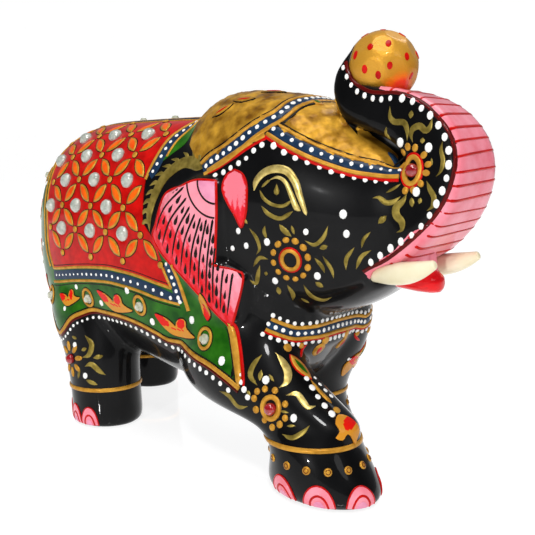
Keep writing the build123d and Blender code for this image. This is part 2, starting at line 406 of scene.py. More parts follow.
def trunk_front(u, v):
    """u the angle round the trunk's outer sweep, v across it."""
    turn = math.radians(u)
    way = np.array((math.cos(turn), 0.0, math.sin(turn)))
    centre = np.array((TRUNK_CENTRE[0], v, TRUNK_CENTRE[1]))
    return SURFACE.ray(centre + way * TRUNK_REACH, -way)


# ---- paint collectors
class Layer:
    def __init__(self):
        self.points = []
        self.faces = []
        self.tones = []

    def add(self, points, faces, tones=None):
        base = len(self.points)
        side = SURFACE.side
        self.points += [(p[0], p[1] * side, p[2]) for p in points]
        if side == RIGHT:
            self.faces += [tuple(base + i for i in f) for f in faces]
        else:
            self.faces += [tuple(base + i for i in reversed(f)) for f in faces]
        self.tones += list(tones) if tones is not None else [0.5] * len(points)


LAYERS = {}
REGION = ["body"]


def layer(finish):
    return LAYERS.setdefault((REGION[0], finish), Layer())


def unit(vector):
    return vector / max(np.linalg.norm(vector), 1e-9)


def smooth_path(points, step, closed=False):
    """Points of a smooth curve through the given ones, evenly spaced."""
    given = np.array(points, float)
    if len(given) < 3 and not closed:
        dense = np.linspace(given[0], given[-1], 40)
    else:
        if closed:
            padded = np.vstack((given[-1], given, given[0], given[1]))
        else:
            padded = np.vstack((2 * given[0] - given[1], given, 2 * given[-1] - given[-2]))
        t = np.linspace(0.0, 1.0, 24, endpoint=False)[:, None]
        spans = []
        for a, b, c, d in zip(padded, padded[1:], padded[2:], padded[3:]):
            square, cube = 2 * a - 5 * b + 4 * c - d, 3 * b - a - 3 * c + d
            spans.append(0.5 * (2 * b + (c - a) * t + square * t**2 + cube * t**3))
        dense = np.vstack(spans + [given[:1] if closed else given[-1:]])
    gaps = np.linalg.norm(np.diff(dense, axis=0), axis=1)
    run = np.concatenate(([0.0], np.cumsum(gaps)))
    count = max(3, int(math.ceil(run[-1] / step)) + 1)
    wanted = np.linspace(0.0, run[-1], count)
    even = np.column_stack([np.interp(wanted, run, dense[:, k]) for k in range(dense.shape[1])])
    return even[:-1] if closed else even


def on_map(path, where, step=1.0, v_scale=1.0):
    """A smooth curve in map coordinates, carried to the skin."""
    scaled = [(u, v * v_scale) for u, v in path]
    return [where(u, v / v_scale)[0] for u, v in smooth_path(scaled, step)]


# places across a stroke and their share of its height; None is below the skin
PROFILE = [(-1.0, None), (-0.93, 0.55), (-0.6, 0.93), (0.0, 1.0), (0.6, 0.93), (0.93, 0.55), (1.0, None)]
DOME = ((0.92, 0.6), (0.62, 0.95))
UP = (0.0, 0.0, 1.0)
DOT_RISE = 0.42
DOT_SIDES = 10
LENS_SIDES = 16
WIDE_STROKE = 0.7
TIP_HALF, TIP_RISE = 0.08, 0.3
SIZE_SPREAD, PITCH_SPREAD = 0.12, 0.06
SMALL_BLOB = 1.6


def shifted(path, by):
    """A path moved sideways across the skin, downwards for one that runs back on the right."""
    even = smooth_path(path, 1.0)
    moved = []
    for p, w in zip(even, np.gradient(even, axis=0)):
        spot, normal = SURFACE.near(p)
        moved.append(SURFACE.near(spot + unit(np.cross(normal, w)) * by)[0])
    return moved


def trace(finish, path, width, height, taper=(0.0, 0.0), closed=False):
    """A raised ribbon of paint through each point of a path. width is half the ribbon's, one number
    or a function of the way along, 0 to 1; taper is the share of each end that narrows to a point."""
    count = len(path)
    snapped = [SURFACE.near(p) for p in path]
    centre = np.array([p for p, _ in snapped])
    normal = np.array([n for _, n in snapped])
    if closed:
        ahead = np.roll(centre, -1, axis=0) - np.roll(centre, 1, axis=0)
    else:
        ahead = np.gradient(centre, axis=0)
    points3, tone_list = [], []
    for i in range(count):
        share = i / (count - 1)
        half = width(share) if callable(width) else width
        rise = 1.0
        if not closed:
            for end, gap in ((taper[0], share), (taper[1], 1 - share)):
                if end > 0 and gap < end:
                    fall = math.sin(0.5 * math.pi * gap / end) ** 0.8
                    half *= max(fall, TIP_HALF)
                    rise *= max(fall, TIP_RISE)
        across = unit(np.cross(normal[i], ahead[i]))
        for place, up in PROFILE:
            spot, lift = centre[i] + across * (place * half), normal[i]
            if half > WIDE_STROKE:
                spot, lift = SURFACE.near(spot)
            points3.append(spot + lift * (-SUNK if up is None else up * height * rise))
            tone_list.append(share)
    ring = len(PROFILE)
    faces = []
    for i in range(count if closed else count - 1):
        a, b = i * ring, ((i + 1) % count) * ring
        for k in range(ring):
            m = (k + 1) % ring
            faces.append((a + k, b + k, b + m, a + m))
    if not closed:
        faces.append(tuple(range(ring)))
        faces.append(tuple(reversed(range((count - 1) * ring, count * ring))))
    layer(finish).add(points3, faces, tone_list)


def trace_beside(path, *lines):
    """Lines that run beside a path: finish, distance, half width and height of each."""
    for finish, gap, half, height in lines:
        trace(finish, shifted(path, gap), half, height)


def stroke(finish, points, width, height, taper=(0.0, 0.0), step=0.7, closed=False):
    """A ribbon along the smooth curve through the points."""
    trace(finish, smooth_path(points, step, closed), width, height, taper, closed)


def blob(finish, centre, ahead, outline, height, lift=0.0):
    """A raised patch with a star-shaped outline given as (along, across) about its centre."""
    middle, normal, way, across = axes_at(centre, ahead)
    small = max(abs(c) for pair in outline for c in pair) < SMALL_BLOB
    points = []

    def put(a, c, up):
        spot = middle + way * a + across * c
        if small:
            spot_normal = normal
        else:
            spot, spot_normal = SURFACE.near(spot)
        points.append(spot + spot_normal * up)

    count = len(outline)
    for a, c in outline:
        put(a, c, -SUNK)
    for scale, up in DOME:
        for a, c in outline:
            put(a * scale, c * scale, lift + up * height)
    put(0.0, 0.0, lift + height)
    faces = [tuple(reversed(range(count)))]
    for r in range(len(DOME)):
        for k in range(count):
            m = (k + 1) % count
            faces.append((r * count + k, r * count + m, (r + 1) * count + m, (r + 1) * count + k))
    top = len(DOME) * count
    for k in range(count):
        faces.append((top + k, top + (k + 1) % count, len(points) - 1))
    layer(finish).add(points, faces)


def round_outline(along, across, count):
    turns = [2 * math.pi * k / count for k in range(count)]
    return [(along * math.cos(turn), across * math.sin(turn)) for turn in turns]


def dot(finish, centre, radius, height=None, ahead=UP, stretch=1.0, lift=0.0):
    tall = radius * DOT_RISE if height is None else height
    blob(finish, centre, ahead, round_outline(radius * stretch, radius, DOT_SIDES), tall, lift)


def dots_along(finish, points, pitch, radius, start=0.0, smooth=True, lift=0.0, fade=None, tall=1.0):
    """Round dots at a steady pitch along a path, each a little different."""
    path = smooth_path(points, 0.4) if smooth else np.array(points)
    run = np.concatenate(([0.0], np.cumsum(np.linalg.norm(np.diff(path, axis=0), axis=1))))
    place = start
    while place <= run[-1]:
        share = place / run[-1]
        spot = np.array([np.interp(place, run, path[:, k]) for k in range(3)])
        size = radius if fade is None else radius * fade(share)
        size *= 1 + rng.uniform(-SIZE_SPREAD, SIZE_SPREAD)
        dot(finish, spot, size, lift=lift, stretch=tall + rng.uniform(0, 0.15))
        gap = pitch if fade is None else pitch * fade(share)
        place += gap * (1 + rng.uniform(-PITCH_SPREAD, PITCH_SPREAD))


def lens_outline(length, width, tip=2.2):
    points = []
    for k in range(LENS_SIDES):
        turn = 2 * math.pi * k / LENS_SIDES
        along, side = math.cos(turn), math.sin(turn)
        bulge = 0.5 * width * max(0.0, 1 - abs(along) ** tip)
        points.append((0.5 * length * along, math.copysign(bulge, side) if abs(side) > 1e-6 else 0.0))
    return points


def lenses(centre, way, *coats, tip=2.2):
    """Leaf shapes one on another: finish, length, width, height and lift of each coat."""
    for finish, length, width, height, lift in coats:
        blob(finish, centre, way, lens_outline(length, width, tip), height, lift)


def ring(finish, centre, radius, width, height, count=22, ahead=UP, stretch=1.0):
    """A raised ring of paint about a point on the skin."""
    middle, _, way, across = axes_at(centre, ahead)
    outline = round_outline(radius * stretch, radius, count)
    trace(finish, [middle + way * a + across * c for a, c in outline], width, height, closed=True)


def inside(points, outline):
    """Which points lie inside a closed outline."""
    found = np.zeros(len(points), bool)
    x, y = points[:, 0], points[:, 1]
    for (ax, ay), (bx, by) in zip(outline, np.roll(outline, -1, axis=0)):
        if ay == by:
            continue
        crosses = (ay > y) != (by > y)
        found ^= crosses & (x < (bx - ax) * (y - ay) / (by - ay) + ax)
    return found


def edge_gap(points, outline):
    """Distance from each point to a closed outline."""
    best = np.full(len(points), 1e9)
    for a, b in zip(outline, np.roll(outline, -1, axis=0)):
        way = b - a
        share = np.clip(((points - a) @ way) / max(way @ way, 1e-12), 0, 1)
        best = np.minimum(best, np.linalg.norm(points - (a + share[:, None] * way), axis=1))
    return best


def zone(finish, outline, where, lift, step, v_scale=1.0, tones=None, relief=None, rounded=False, edge=0.6):
    """A filled painted area. outline is closed, in map coordinates; step is the spacing of the
    points inside it and edge the spacing along it."""
    given = np.array(outline, float) * (1.0, v_scale)
    if rounded:
        rim = smooth_path(given, edge, closed=True)
    else:
        rim = np.vstack([
            np.linspace(a, b, max(1, int(np.linalg.norm(b - a) / edge)), endpoint=False)
            for a, b in zip(given, np.roll(given, -1, axis=0))
        ])
    low, high = rim.min(0), rim.max(0)
    rows = []
    for j, v in enumerate(np.arange(low[1], high[1], step * 0.87)):
        shift = 0.5 * step * (j % 2)
        rows += [(u + shift, v) for u in np.arange(low[0], high[0], step)]
    grid = np.array(rows)
    grid = grid[inside(grid, rim)]
    if len(grid):
        grid = grid[edge_gap(grid, rim) > 0.45 * step]
    flat = np.vstack((rim, grid)) if len(grid) else rim
    edges = [(k, (k + 1) % len(rim)) for k in range(len(rim))]
    verts, _, tris, _, _, _ = delaunay_2d_cdt([Vector(p) for p in flat], edges, [], 1, 1e-5)
    count = len(verts)
    used = np.array([(v.x, v.y) for v in verts])
    gaps = edge_gap(used, rim)
    top, bottom, tone_list = [], [], []
    for (u, v), gap in zip(used, gaps):
        spot, normal = where(u, v / v_scale)
        up = lift + (relief(spot) * min(1.0, gap / 1.5) if relief else 0.0)
        top.append(spot + normal * up)
        bottom.append(spot - normal * SUNK)
        tone_list.append(0.5 if tones is None else tones(spot, u, v / v_scale, gap))
    faces, sides = [], {}
    for a, b, c in tris:
        way = np.cross(top[b] - top[a], top[c] - top[a])
        _, normal = where(used[a][0], used[a][1] / v_scale)
        if np.dot(way, normal) < 0:
            a, c = c, a
        faces.append((a, b, c))
        faces.append((count + c, count + b, count + a))
        sides.update(dict.fromkeys(((a, b), (b, c), (c, a))))
    for a, b in sides:
        if (b, a) not in sides:
            faces.append((b, a, count + a, count + b))
    layer(finish).add(top + bottom, faces, tone_list + tone_list)


def side_name(stem):
    return stem + ("_right" if SURFACE.side == RIGHT else "_left")


def on_right(place):
    """A place of the side being painted, carried to the right side."""
    return place * (1.0, SURFACE.side, 1.0)


def both_sides(paint_side):
    for side in (RIGHT, LEFT):
        SURFACE.side = side
        paint_side()
    SURFACE.side = RIGHT


# ---- the cloth on the back
DEG = 0.52
SPINE_EDGE = 74.5
FIELD_FRONT = [
    (-3.6, SPINE_EDGE), (-4.5, 67), (-7, 58), (-8.2, 48), (-9.3, 41), (-10, 36), (-9.6, 26), (-9, 13),
    (-5.2, 6.5), (-2.2, -1), (-1.2, -6),
]
FIELD_CORNER = (2.6, -22.5)
FIELD_LOW = [(-4.6, -19.9), (-12, -17.4), (-20, -16), (-29, -15.6), (-45, -18), (-60, -22)]
FIELD_REAR = [(-63, -10), (-64, 5), (-64.5, 25), (-64, 45), (-62.8, 60), (-60.8, SPINE_EDGE)]
HEM_LOW = [
    (25.4, -48.6), (18.2, -46.9), (9, -46.9), (-1.4, -48), (-8, -45), (-15.6, -42.3), (-24.3, -41.2),
    (-34.3, -41.4), (-42.2, -41.0), (-48, -42.2), (-53, -46.5), (-58.5, -49),
]
HEM_CORNER = (31.2, -50.8)
HEM_FRONT = [(23.6, -36), (26.1, -42), (28.2, -45.6), (29.9, -48.2)]
HEM_REAR = [(-70, -43), (-80, -34), (-86, -20), (-88, 0), (-88, 25), (-87, 50), (-84, 70), (-82, 90)]
LATTICE_ROWS = [-10, 6, 20.5, 35, 48, 60.5, 73]
LATTICE_X = -18.2
LATTICE_PITCH = 17.0
PETAL_LENGTH, PETAL_WIDTH = 8.8, 3.8
PETAL_REACH = 0.36
STONE_GAP = 2.5
BORDER_RISE, BAND_DROP, BAND_NOSE = 1.9, 4.2, 2.8


def on_cloth(path):
    """A line given along the body and by its angle, on the skin."""
    return on_map(path, torso, v_scale=DEG)


def in_field(u, v, outline):
    return inside(np.array([(u, v)]), outline)[0]


def stones(name):
    """The stones in a node, each as its centre, found from the loose parts of its mesh."""
    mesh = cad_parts[name].data
    place = mesh_arrays(mesh) / MM
    group = list(range(len(place)))

    def root(i):
        while group[i] != i:
            group[i] = group[group[i]]
            i = group[i]
        return i

    for e in mesh.edges:
        a, b = root(e.vertices[0]), root(e.vertices[1])
        if a != b:
            group[b] = a
    merged = {}
    for i in range(len(place)):
        merged.setdefault(root(i), []).append(i)
    boxes = []
    for members in merged.values():
        low, high = place[members].min(0), place[members].max(0)
        for k, (other_low, other_high) in enumerate(boxes):
            if np.linalg.norm(0.5 * (other_low + other_high - low - high)) < STONE_GAP:
                boxes[k] = (np.minimum(low, other_low), np.maximum(high, other_high))
                break
        else:
            boxes.append((low, high))
    return [0.5 * (low + high) for low, high in boxes]


LEAF_GOLD, LEAF_RED = 0.3, 0.95
LEAF = [
    (0, 0), (0.25, 0.16), (0.5, 0.26), (0.7, 0.22), (0.88, 0.11), (1.0, 0.0), (0.85, -0.03), (0.7, -0.02),
    (0.58, 0.02), (0.52, 0.05), (0.51, -0.06), (0.47, -0.14), (0.39, -0.18), (0.31, -0.14), (0.27, -0.04),
    (0.15, -0.01),
]


def leaf(base, tip, fat=1.0):
    """A gold leaf with a second round lobe, red towards the tip and on the lobe."""
    base, tip = np.array(base, float), np.array(tip, float)
    reach = np.linalg.norm(tip - base)
    where = tangent(base, tip - base)
    outline = [(a * reach, c * reach * fat) for a, c in LEAF]

    def tones(spot, a, c, gap):
        a, c = a / reach, c / (reach * fat)
        tip_red = a > 0.66 and abs(c - 0.07) < 0.02 + 0.42 * (a - 0.62)
        lobe_red = math.hypot(a - 0.41, (c + 0.06) * 0.8) < 0.09
        streak = abs(c - 0.10 - 0.25 * (a - 0.5)) < 0.014 and 0.3 < a < 0.6
        return LEAF_RED if tip_red or lobe_red or streak else LEAF_GOLD

    stroke("black", [where(a, c)[0] for a, c in outline], 0.45, 0.2, closed=True)
    zone("leaf", outline, where, 0.36, 0.55, tones=tones, edge=0.45, rounded=True)


def cloth():
    REGION[0] = "cloth"
    ear_line = [(0.5, -4.5), (7.8, -15), (14.9, -24.5), (21, -33)]
    neck_line = [
        (7, 90), (6, 76), (4, 64), (1, 55), (-4, 47), (-9.4, 38), (-10.2, 36), (-9.9, 26), (-9.4, 13),
        (-6, 4),
    ]
    blanket = neck_line + ear_line + HEM_FRONT + [HEM_CORNER] + HEM_LOW + HEM_REAR
    zone("green", blanket, torso, 0.10, 1.2, DEG)
    field = FIELD_FRONT + [FIELD_CORNER] + FIELD_LOW + FIELD_REAR
    zone("red", field, torso, 0.20, 1.2, DEG)
    outline = np.array(field, float)

    # gold and black lines at the hem, then a row of white dots below it
    hem = on_cloth([HEM_CORNER] + HEM_LOW + HEM_REAR)
    trace("ochre", hem, 0.72, 0.42)
    trace_beside(hem, ("black", -1.0, 0.24, 0.25), ("darkred", 1.1, 0.42, 0.3))
    dots_along(
        "white", shifted(hem, 2.7)[3:], 2.9, 0.74, smooth=False, fade=lambda s: max(0.72, 1.15 - 0.9 * s),
    )
    front = on_cloth(HEM_FRONT + [HEM_CORNER])
    trace("ochre", front, lambda s: 0.85 + 0.35 * math.sin(math.pi * s), 0.45, (0.2, 0.05))
    trace("black", shifted(front, -1.35), 0.22, 0.25, (0.1, 0.1))
    trace("red", shifted(front, 1.55), 0.55, 0.3, (0.15, 0.1))
    row = [
        (34.2, -30.5, 26.5), (32.0, -30.3, 29.5), (30.0, -29.8, 32.6), (28.1, -28.6, 36.9),
        (26.3, -27.3, 41.3),
    ]
    dots_along("white", row, 2.3, 0.82)

    # the navy band between red field and green border, with its gold lines
    band = on_cloth([(u, v - BAND_DROP) for u, v in [(5.6, -25.0)] + FIELD_LOW])
    trace("navy", band, 1.75, 0.27)
    dots_along("white", band, 3.1, 0.52, fade=lambda s: 1.2 - 0.5 * s, lift=0.25)
    for finish, nose, gap, half, height in (
        ("ochre", 0.0, 0.0, 0.5, 0.42), ("ochre", BAND_NOSE, -8.0, 0.5, 0.42),
        ("black", 0.0, BORDER_RISE, 0.2, 0.26), ("black", BAND_NOSE, -9.8, 0.2, 0.2),
    ):
        path = [(u + nose * (u > 0), v + gap) for u, v in [FIELD_CORNER] + FIELD_LOW]
        trace(finish, on_cloth(path), half, height)
    lower_front = on_cloth([(1.4, -9), (3.4, -18), (5.5, -29.5)])
    trace("navy", lower_front, 1.7, 0.29)
    dots_along("white", lower_front, 2.2, 0.62, lift=0.27)
    trace("ochre", on_cloth([(-1.2, -9), (0.6, -16), FIELD_CORNER]), 0.5, 0.44)
    trace("ochre", on_cloth([(3.8, -9), (5.6, -18), (8.4, -33.5)]), 0.7, 0.44)
    front_edge = [(-2.5, 86)] + FIELD_FRONT
    upper_front = on_cloth([(u + 2.1, v) for u, v in front_edge[:6]] + [(-8.6, 38)])
    trace("navy", upper_front, 1.6, 0.29)
    dots_along("white", upper_front, 2.7, 0.62, lift=0.27, start=0.8)
    trace("ochre", on_cloth(front_edge[:7]), 0.5, 0.44)
    trace("ochre", on_cloth([(u + 4.2, v) for u, v in front_edge[:5]]), 0.4, 0.40)

    # spine and rear edges of the field
    for finish, gap, half in (("ochre", 0.0, 0.55), ("navy", 3.2, 0.75), ("ochre", 6.4, 0.5)):
        path = [(u, SPINE_EDGE + gap) for u in (FIELD_FRONT[0][0], FIELD_REAR[-1][0])]
        trace(finish, on_cloth(path), half, 0.42)
    for finish, back, half, height in (
        ("ochre", 0.0, 0.6, 0.42), ("black", 1.3, 0.22, 0.22), ("ochre", 3.0, 0.45, 0.36),
    ):
        path = [(u - back, v) for u, v in FIELD_LOW[-1:] + FIELD_REAR]
        trace(finish, on_cloth(path), half, height)

    # the lattice of petals with gold dots at its nodes
    nodes = [
        (row, LATTICE_X + 0.5 * LATTICE_PITCH * (row % 2) - LATTICE_PITCH * k, angle)
        for row, angle in enumerate(LATTICE_ROWS)
        for k in range(-2, 5)
    ]
    for row, u, angle in nodes:
        if in_field(u, angle, outline) and in_field(u + 1.2, angle - 2.5, outline):
            spot = torso(u, angle)[0]
            dot("black", spot, 1.45, 0.30, lift=0.1)
            dot("ochre", spot, 1.15, 0.55, lift=0.2)
        if row + 1 >= len(LATTICE_ROWS):
            continue
        for other in (-0.5, 0.5):
            far_u = u + other * LATTICE_PITCH
            far_v = LATTICE_ROWS[row + 1]
            mid_u, mid_v = 0.5 * (u + far_u), 0.5 * (angle + far_v)
            ends = [
                (mid_u + k * PETAL_REACH * (far_u - u), mid_v + k * PETAL_REACH * (far_v - angle))
                for k in (-1, 1)
            ]
            if not all(in_field(eu, ev, outline) for eu, ev in ends):
                continue
            middle = torso(mid_u, mid_v)[0]
            toward = torso(far_u, far_v)[0] - torso(u, angle)[0]
            length = min(PETAL_LENGTH, 0.80 * np.linalg.norm(toward))
            lenses(
                middle, toward,
                ("black", length + 0.9, PETAL_WIDTH + 0.8, 0.30, 0.05),
                ("ochre", length, PETAL_WIDTH, 0.42, 0.08),
                ("orange", length * 0.78, PETAL_WIDTH * 0.60, 0.30, 0.32),
            )

    # rings round the border stones, with leaves, a pod and white dots between them
    for stem in ("border_rhinestones", "rump_rhinestones"):
        for c in stones(side_name(stem)):
            spot = on_right(c) + (0.0, 0.0, 0.3)
            ring("black", spot, 2.55, 0.85, 0.22, stretch=1.22)
            ring("ochre", spot, 2.5, 0.55, 0.55, stretch=1.22)
    leaf((11.5, -28.7, 39.6), (-6.0, -29.3, 46.2), 0.88)
    leaf((-16.3, -29.2, 44.4), (-34.1, -29.8, 49.2), 0.88)
    leaf((-44.9, -29.1, 45.2), (-55.4, -30.4, 45.6), 1.3)
    pod = tangent((15.4, -29.2, 48.8), UP)
    outline = lens_outline(9.4, 4.2)
    stroke("black", [pod(a, c)[0] for a, c in outline], 0.5, 0.22, closed=True)

    def pod_tones(spot, a, c, gap):
        return 0.9 if abs(c) < 0.9 - 0.3 * a and a < 1.4 else LEAF_GOLD

    zone("leaf", outline, pod, 0.42, 0.6, tones=pod_tones, rounded=True)
    for *spot, size in (
        (-17.4, -30.4, 51.1, 1.05), (-33.3, -28.8, 44.8, 0.95), (-46.3, -29.3, 49.0, 0.8),
        (-51.8, -30.8, 40.8, 0.7), (-7.6, -28.3, 42.0, 1.05), (9.6, -27.6, 44.7, 1.05),
        (23.9, -30.0, 35.0, 1.15),
    ):
        dot("white", spot, size, lift=0.1, stretch=1.25)
    for u, v in ((-69, -38), (-77, -14), (-77, 22), (-76, 60)):
        leaf(torso(u, v - 8)[0], torso(u, v + 8)[0], 1.1)
    for u, v in ((-70, -8), (-84, 8), (-70, 38), (-72, 74)):
        dot("white", torso(u, v)[0], 0.75, lift=0.1)


def spine():
    """Stones in gold rings along the back, with leaves between them."""
    REGION[0] = "cloth"
    places = sorted(stones("spine_rhinestones"), key=lambda c: c[0])
    for c in places:
        ring("black", c, 2.35, 1.0, 0.22, ahead=(1, 0, 0))
        ring("ochre", c, 2.3, 0.62, 0.55, ahead=(1, 0, 0))
    for a, b in zip(places, places[1:]):
        leaf(a * 0.82 + b * 0.18 + np.array((0.0, -0.4, 0.0)), a * 0.2 + b * 0.8, 1.1)


both_sides(cloth)
spine()


# ---- head
def headdress():
    REGION[0] = "headdress"

    def emboss(spot):
        x, y, z = spot
        broad = math.sin(x * 1.15 + 1.7 * math.sin(z * 0.55)) * math.sin(z * 1.2 + 1.4 * math.sin(x * 0.6))
        fine = math.sin(x * 2.9 + 2.1 * math.sin(y * 1.3 + z))
        fine *= math.sin(y * 2.3 + z * 2.1 + 1.5 * math.sin(x * 1.7))
        return 0.15 * broad + 0.13 * fine

    def flat(x, y, z):
        """A place as crown() takes it."""
        rise = np.array((y - CROWN_Y, z - CROWN_Z)) * (math.sin(CROWN_TILT), math.cos(CROWN_TILT))
        return x, rise.sum()

    # the dome and the forehead panel
    dome = [
        (14.2, -25.8, 89.6), (9, -24.6, 92.6), (4.2, -22, 96.2), (3.4, -17, 102), (3.6, -9, 107),
        (4, 0.2, 110), (20, 0.2, 112.5), (37.5, 0.2, 110.5), (36.5, -8.7, 109), (35.6, -13, 107.2),
        (33.5, -19, 103.3), (30, -22, 99.6), (25, -24.2, 95.6), (19.5, -25.6, 92),
    ]
    panel = [
        (38.5, 0.2, 110.3), (37.8, -8, 108.8), (36.5, -17.6, 103.6), (35.2, -21.6, 99.6), (41, -20.8, 97.4),
        (46.4, -19, 94.6), (51.3, -17.4, 92.4), (56.7, -15.6, 90.2), (61.9, -14.4, 88.9), (67, -13.6, 88.0),
        (69, -11.6, 89), (66, -10, 92.6), (60, -9.7, 96.2), (54, -9.0, 99.8), (49.5, -7.6, 103.0),
        (46.5, -5, 106.5), (45, 0.2, 108.6),
    ]
    for area in (dome, panel):
        zone("foil", [flat(*p) for p in area], crown, 0.24, 0.75, relief=emboss)

    for crease in (
        [(54.0, -7.2, 99.9), (58.5, -7.1, 96.8), (62.9, -8.6, 94.1), (65.9, -9.1, 92.0)],
        [
            (51.9, -5.6, 101.3), (56.0, -5.5, 98.8), (59.3, -5.6, 96.7), (63.2, -6.9, 94.6),
            (66.7, -7.7, 92.0),
        ],
    ):
        stroke("foil", crease, 1.5, 0.2, (0.15, 0.1))
    stroke(
        "navy", [(69.5, -11.8, 88.8), (68.4, -9.8, 90.5), (66.5, -8.3, 92.1), (63.2, -7.4, 94.4)], 0.95,
        0.38, (0.1, 0.3),
    )

    # band over the ridge from the rear corner: gold, navy with dots, gold, black lines
    cross = [
        (13.4, -25.8, 89.4), (16.2, -25.6, 91.5), (20.9, -25.2, 93.9), (25.2, -23.9, 96.7),
        (29.5, -22, 100.3), (32.3, -20.3, 102.3), (35.1, -17.7, 104.6), (36.4, -12.4, 108),
        (37.6, -6, 109.6), (38, 0, 110),
    ]
    stroke("navy", cross, 1.75, 0.42)
    dots_along("white", cross, 2.5, 0.72, lift=0.36, start=1.5)

    trace_beside(cross, ("ochre", 2.3, 0.55, 0.55), ("black", 3.2, 0.25, 0.4))
    trace("black", shifted(cross, -3.5)[18:], 0.5, 0.4)
    gem = (41.0, -8.0, 109.0)
    lenses(gem, (1.0, 0.2, 0.0), ("ochre", 4.6, 2.6, 0.34, 0.3), ("green", 2.2, 1.2, 0.2, 0.6))
    trace_beside(cross, ("ochre", -2.4, 0.75, 0.55))
    low = [(15.4, -26, 88.9), (20, -25.6, 91.4), (25, -24.7, 94), (30, -23.4, 97), (33.6, -22.4, 98.9)]
    stroke("ochre", low, 0.8, 0.5)
    trace("red", shifted(low, -1.1), 0.42, 0.34)

    # lower border of the forehead panel
    edge = [
        (33.8, -22.2, 98.9), (39.3, -21.8, 95.9), (44.5, -20.8, 93.4), (49, -19.2, 91.4),
        (53.5, -17.6, 89.8), (57.9, -16.2, 88.5), (62.5, -15, 87.8), (67.2, -14.3, 87.4),
        (70.6, -13.6, 87.4),
    ]
    trace_beside(edge, ("ochre", 0.5, 0.62, 0.5), ("red", -0.5, 0.42, 0.34))
    border = shifted(edge, 2.5)
    trace("navy", border, 1.45, 0.42)
    dots_along("white", border, 2.9, 0.6, lift=0.36, smooth=False, start=1.0, fade=lambda s: 1.15 - 0.3 * s)
    trace_beside(edge, ("ochre", 4.4, 0.42, 0.5), ("black", 5.3, 0.22, 0.4))
    # white dots below the border
    rows = [
        (18.6, -26.4, 87.2), (24.7, -25.7, 90.2), (29.2, -25.1, 92.6), (31.9, -23.8, 95.3),
        (34.4, -23, 96.6),
    ]
    dots_along("white", rows, 2.9, 0.78, start=0.3)
    rows = [
        (37.0, -22.5, 95.9), (42.3, -21.8, 93.1), (47.7, -20, 91.1), (54.2, -17.7, 88.6), (59, -15.9, 87.3),
        (64.8, -14.8, 86.6), (70.2, -13.7, 86.3),
    ]
    dots_along("white", rows, 3.6, 0.86, fade=lambda s: 1.1 - 0.35 * s)

    # petals outlined on the dome
    for x, y, z, way in (
        (19.5, -15, 109.4, (1, 0.2, 0.1)), (14.5, -18.5, 106.2, (-0.8, -0.5, -0.6)),
        (24, -7, 111.5, (1, 0.6, 0)),
    ):
        lenses(
            (x, y, z), way,
            ("black", 8.2, 3.6, 0.24, 0.34), ("foil", 7.4, 2.9, 0.30, 0.40), ("red", 4.6, 0.8, 0.16, 0.68),
            tip=1.7,
        )


EAR_CORNER = np.array((-0.6, 86.2))
EAR_RED_REACH = 8.5
DROP_PITCH = 4.2
DROP = [
    (1.7, 0.0), (0.7, 0.30), (-0.4, 0.62), (-1.2, 0.44), (-1.5, 0.0), (-1.2, -0.4), (-0.4, -0.5),
    (0.7, -0.26),
]
TEAR_LOW, TEAR_FADE = 72.6, 15.0
EAR_OUTLINE = [
    (-0.6, 86.3), (-6.6, 86.5), (-11.6, 84.7), (-17.7, 81.9), (-20.6, 73.2), (-21.8, 69.3), (-18.4, 64),
    (-12.1, 58.4), (-6, 52.9), (1.6, 46.2), (3.9, 45.5), (7.2, 58.5), (5.2, 60.9), (-1.4, 62.4),
    (-1.1, 64.3), (-0.5, 76.7),
]
EAR_LINES = [
    ((-10.5, 84.5), (-20.8, 70)), ((-9.6, 81.5), (-18.6, 65.5)), ((-8.6, 79), (-15.2, 62)),
    ((-7, 77), (-12.2, 59)), ((-5.2, 76), (-9.2, 56.4)), ((-3.4, 75.6), (-6.4, 53.8)),
    ((-1.5, 75.6), (-4, 51.5)), ((-0.9, 68), (-1.6, 50)), ((1.6, 61.6), (0.6, 48.4)),
    ((4.4, 60.6), (2.6, 47.4)),
]


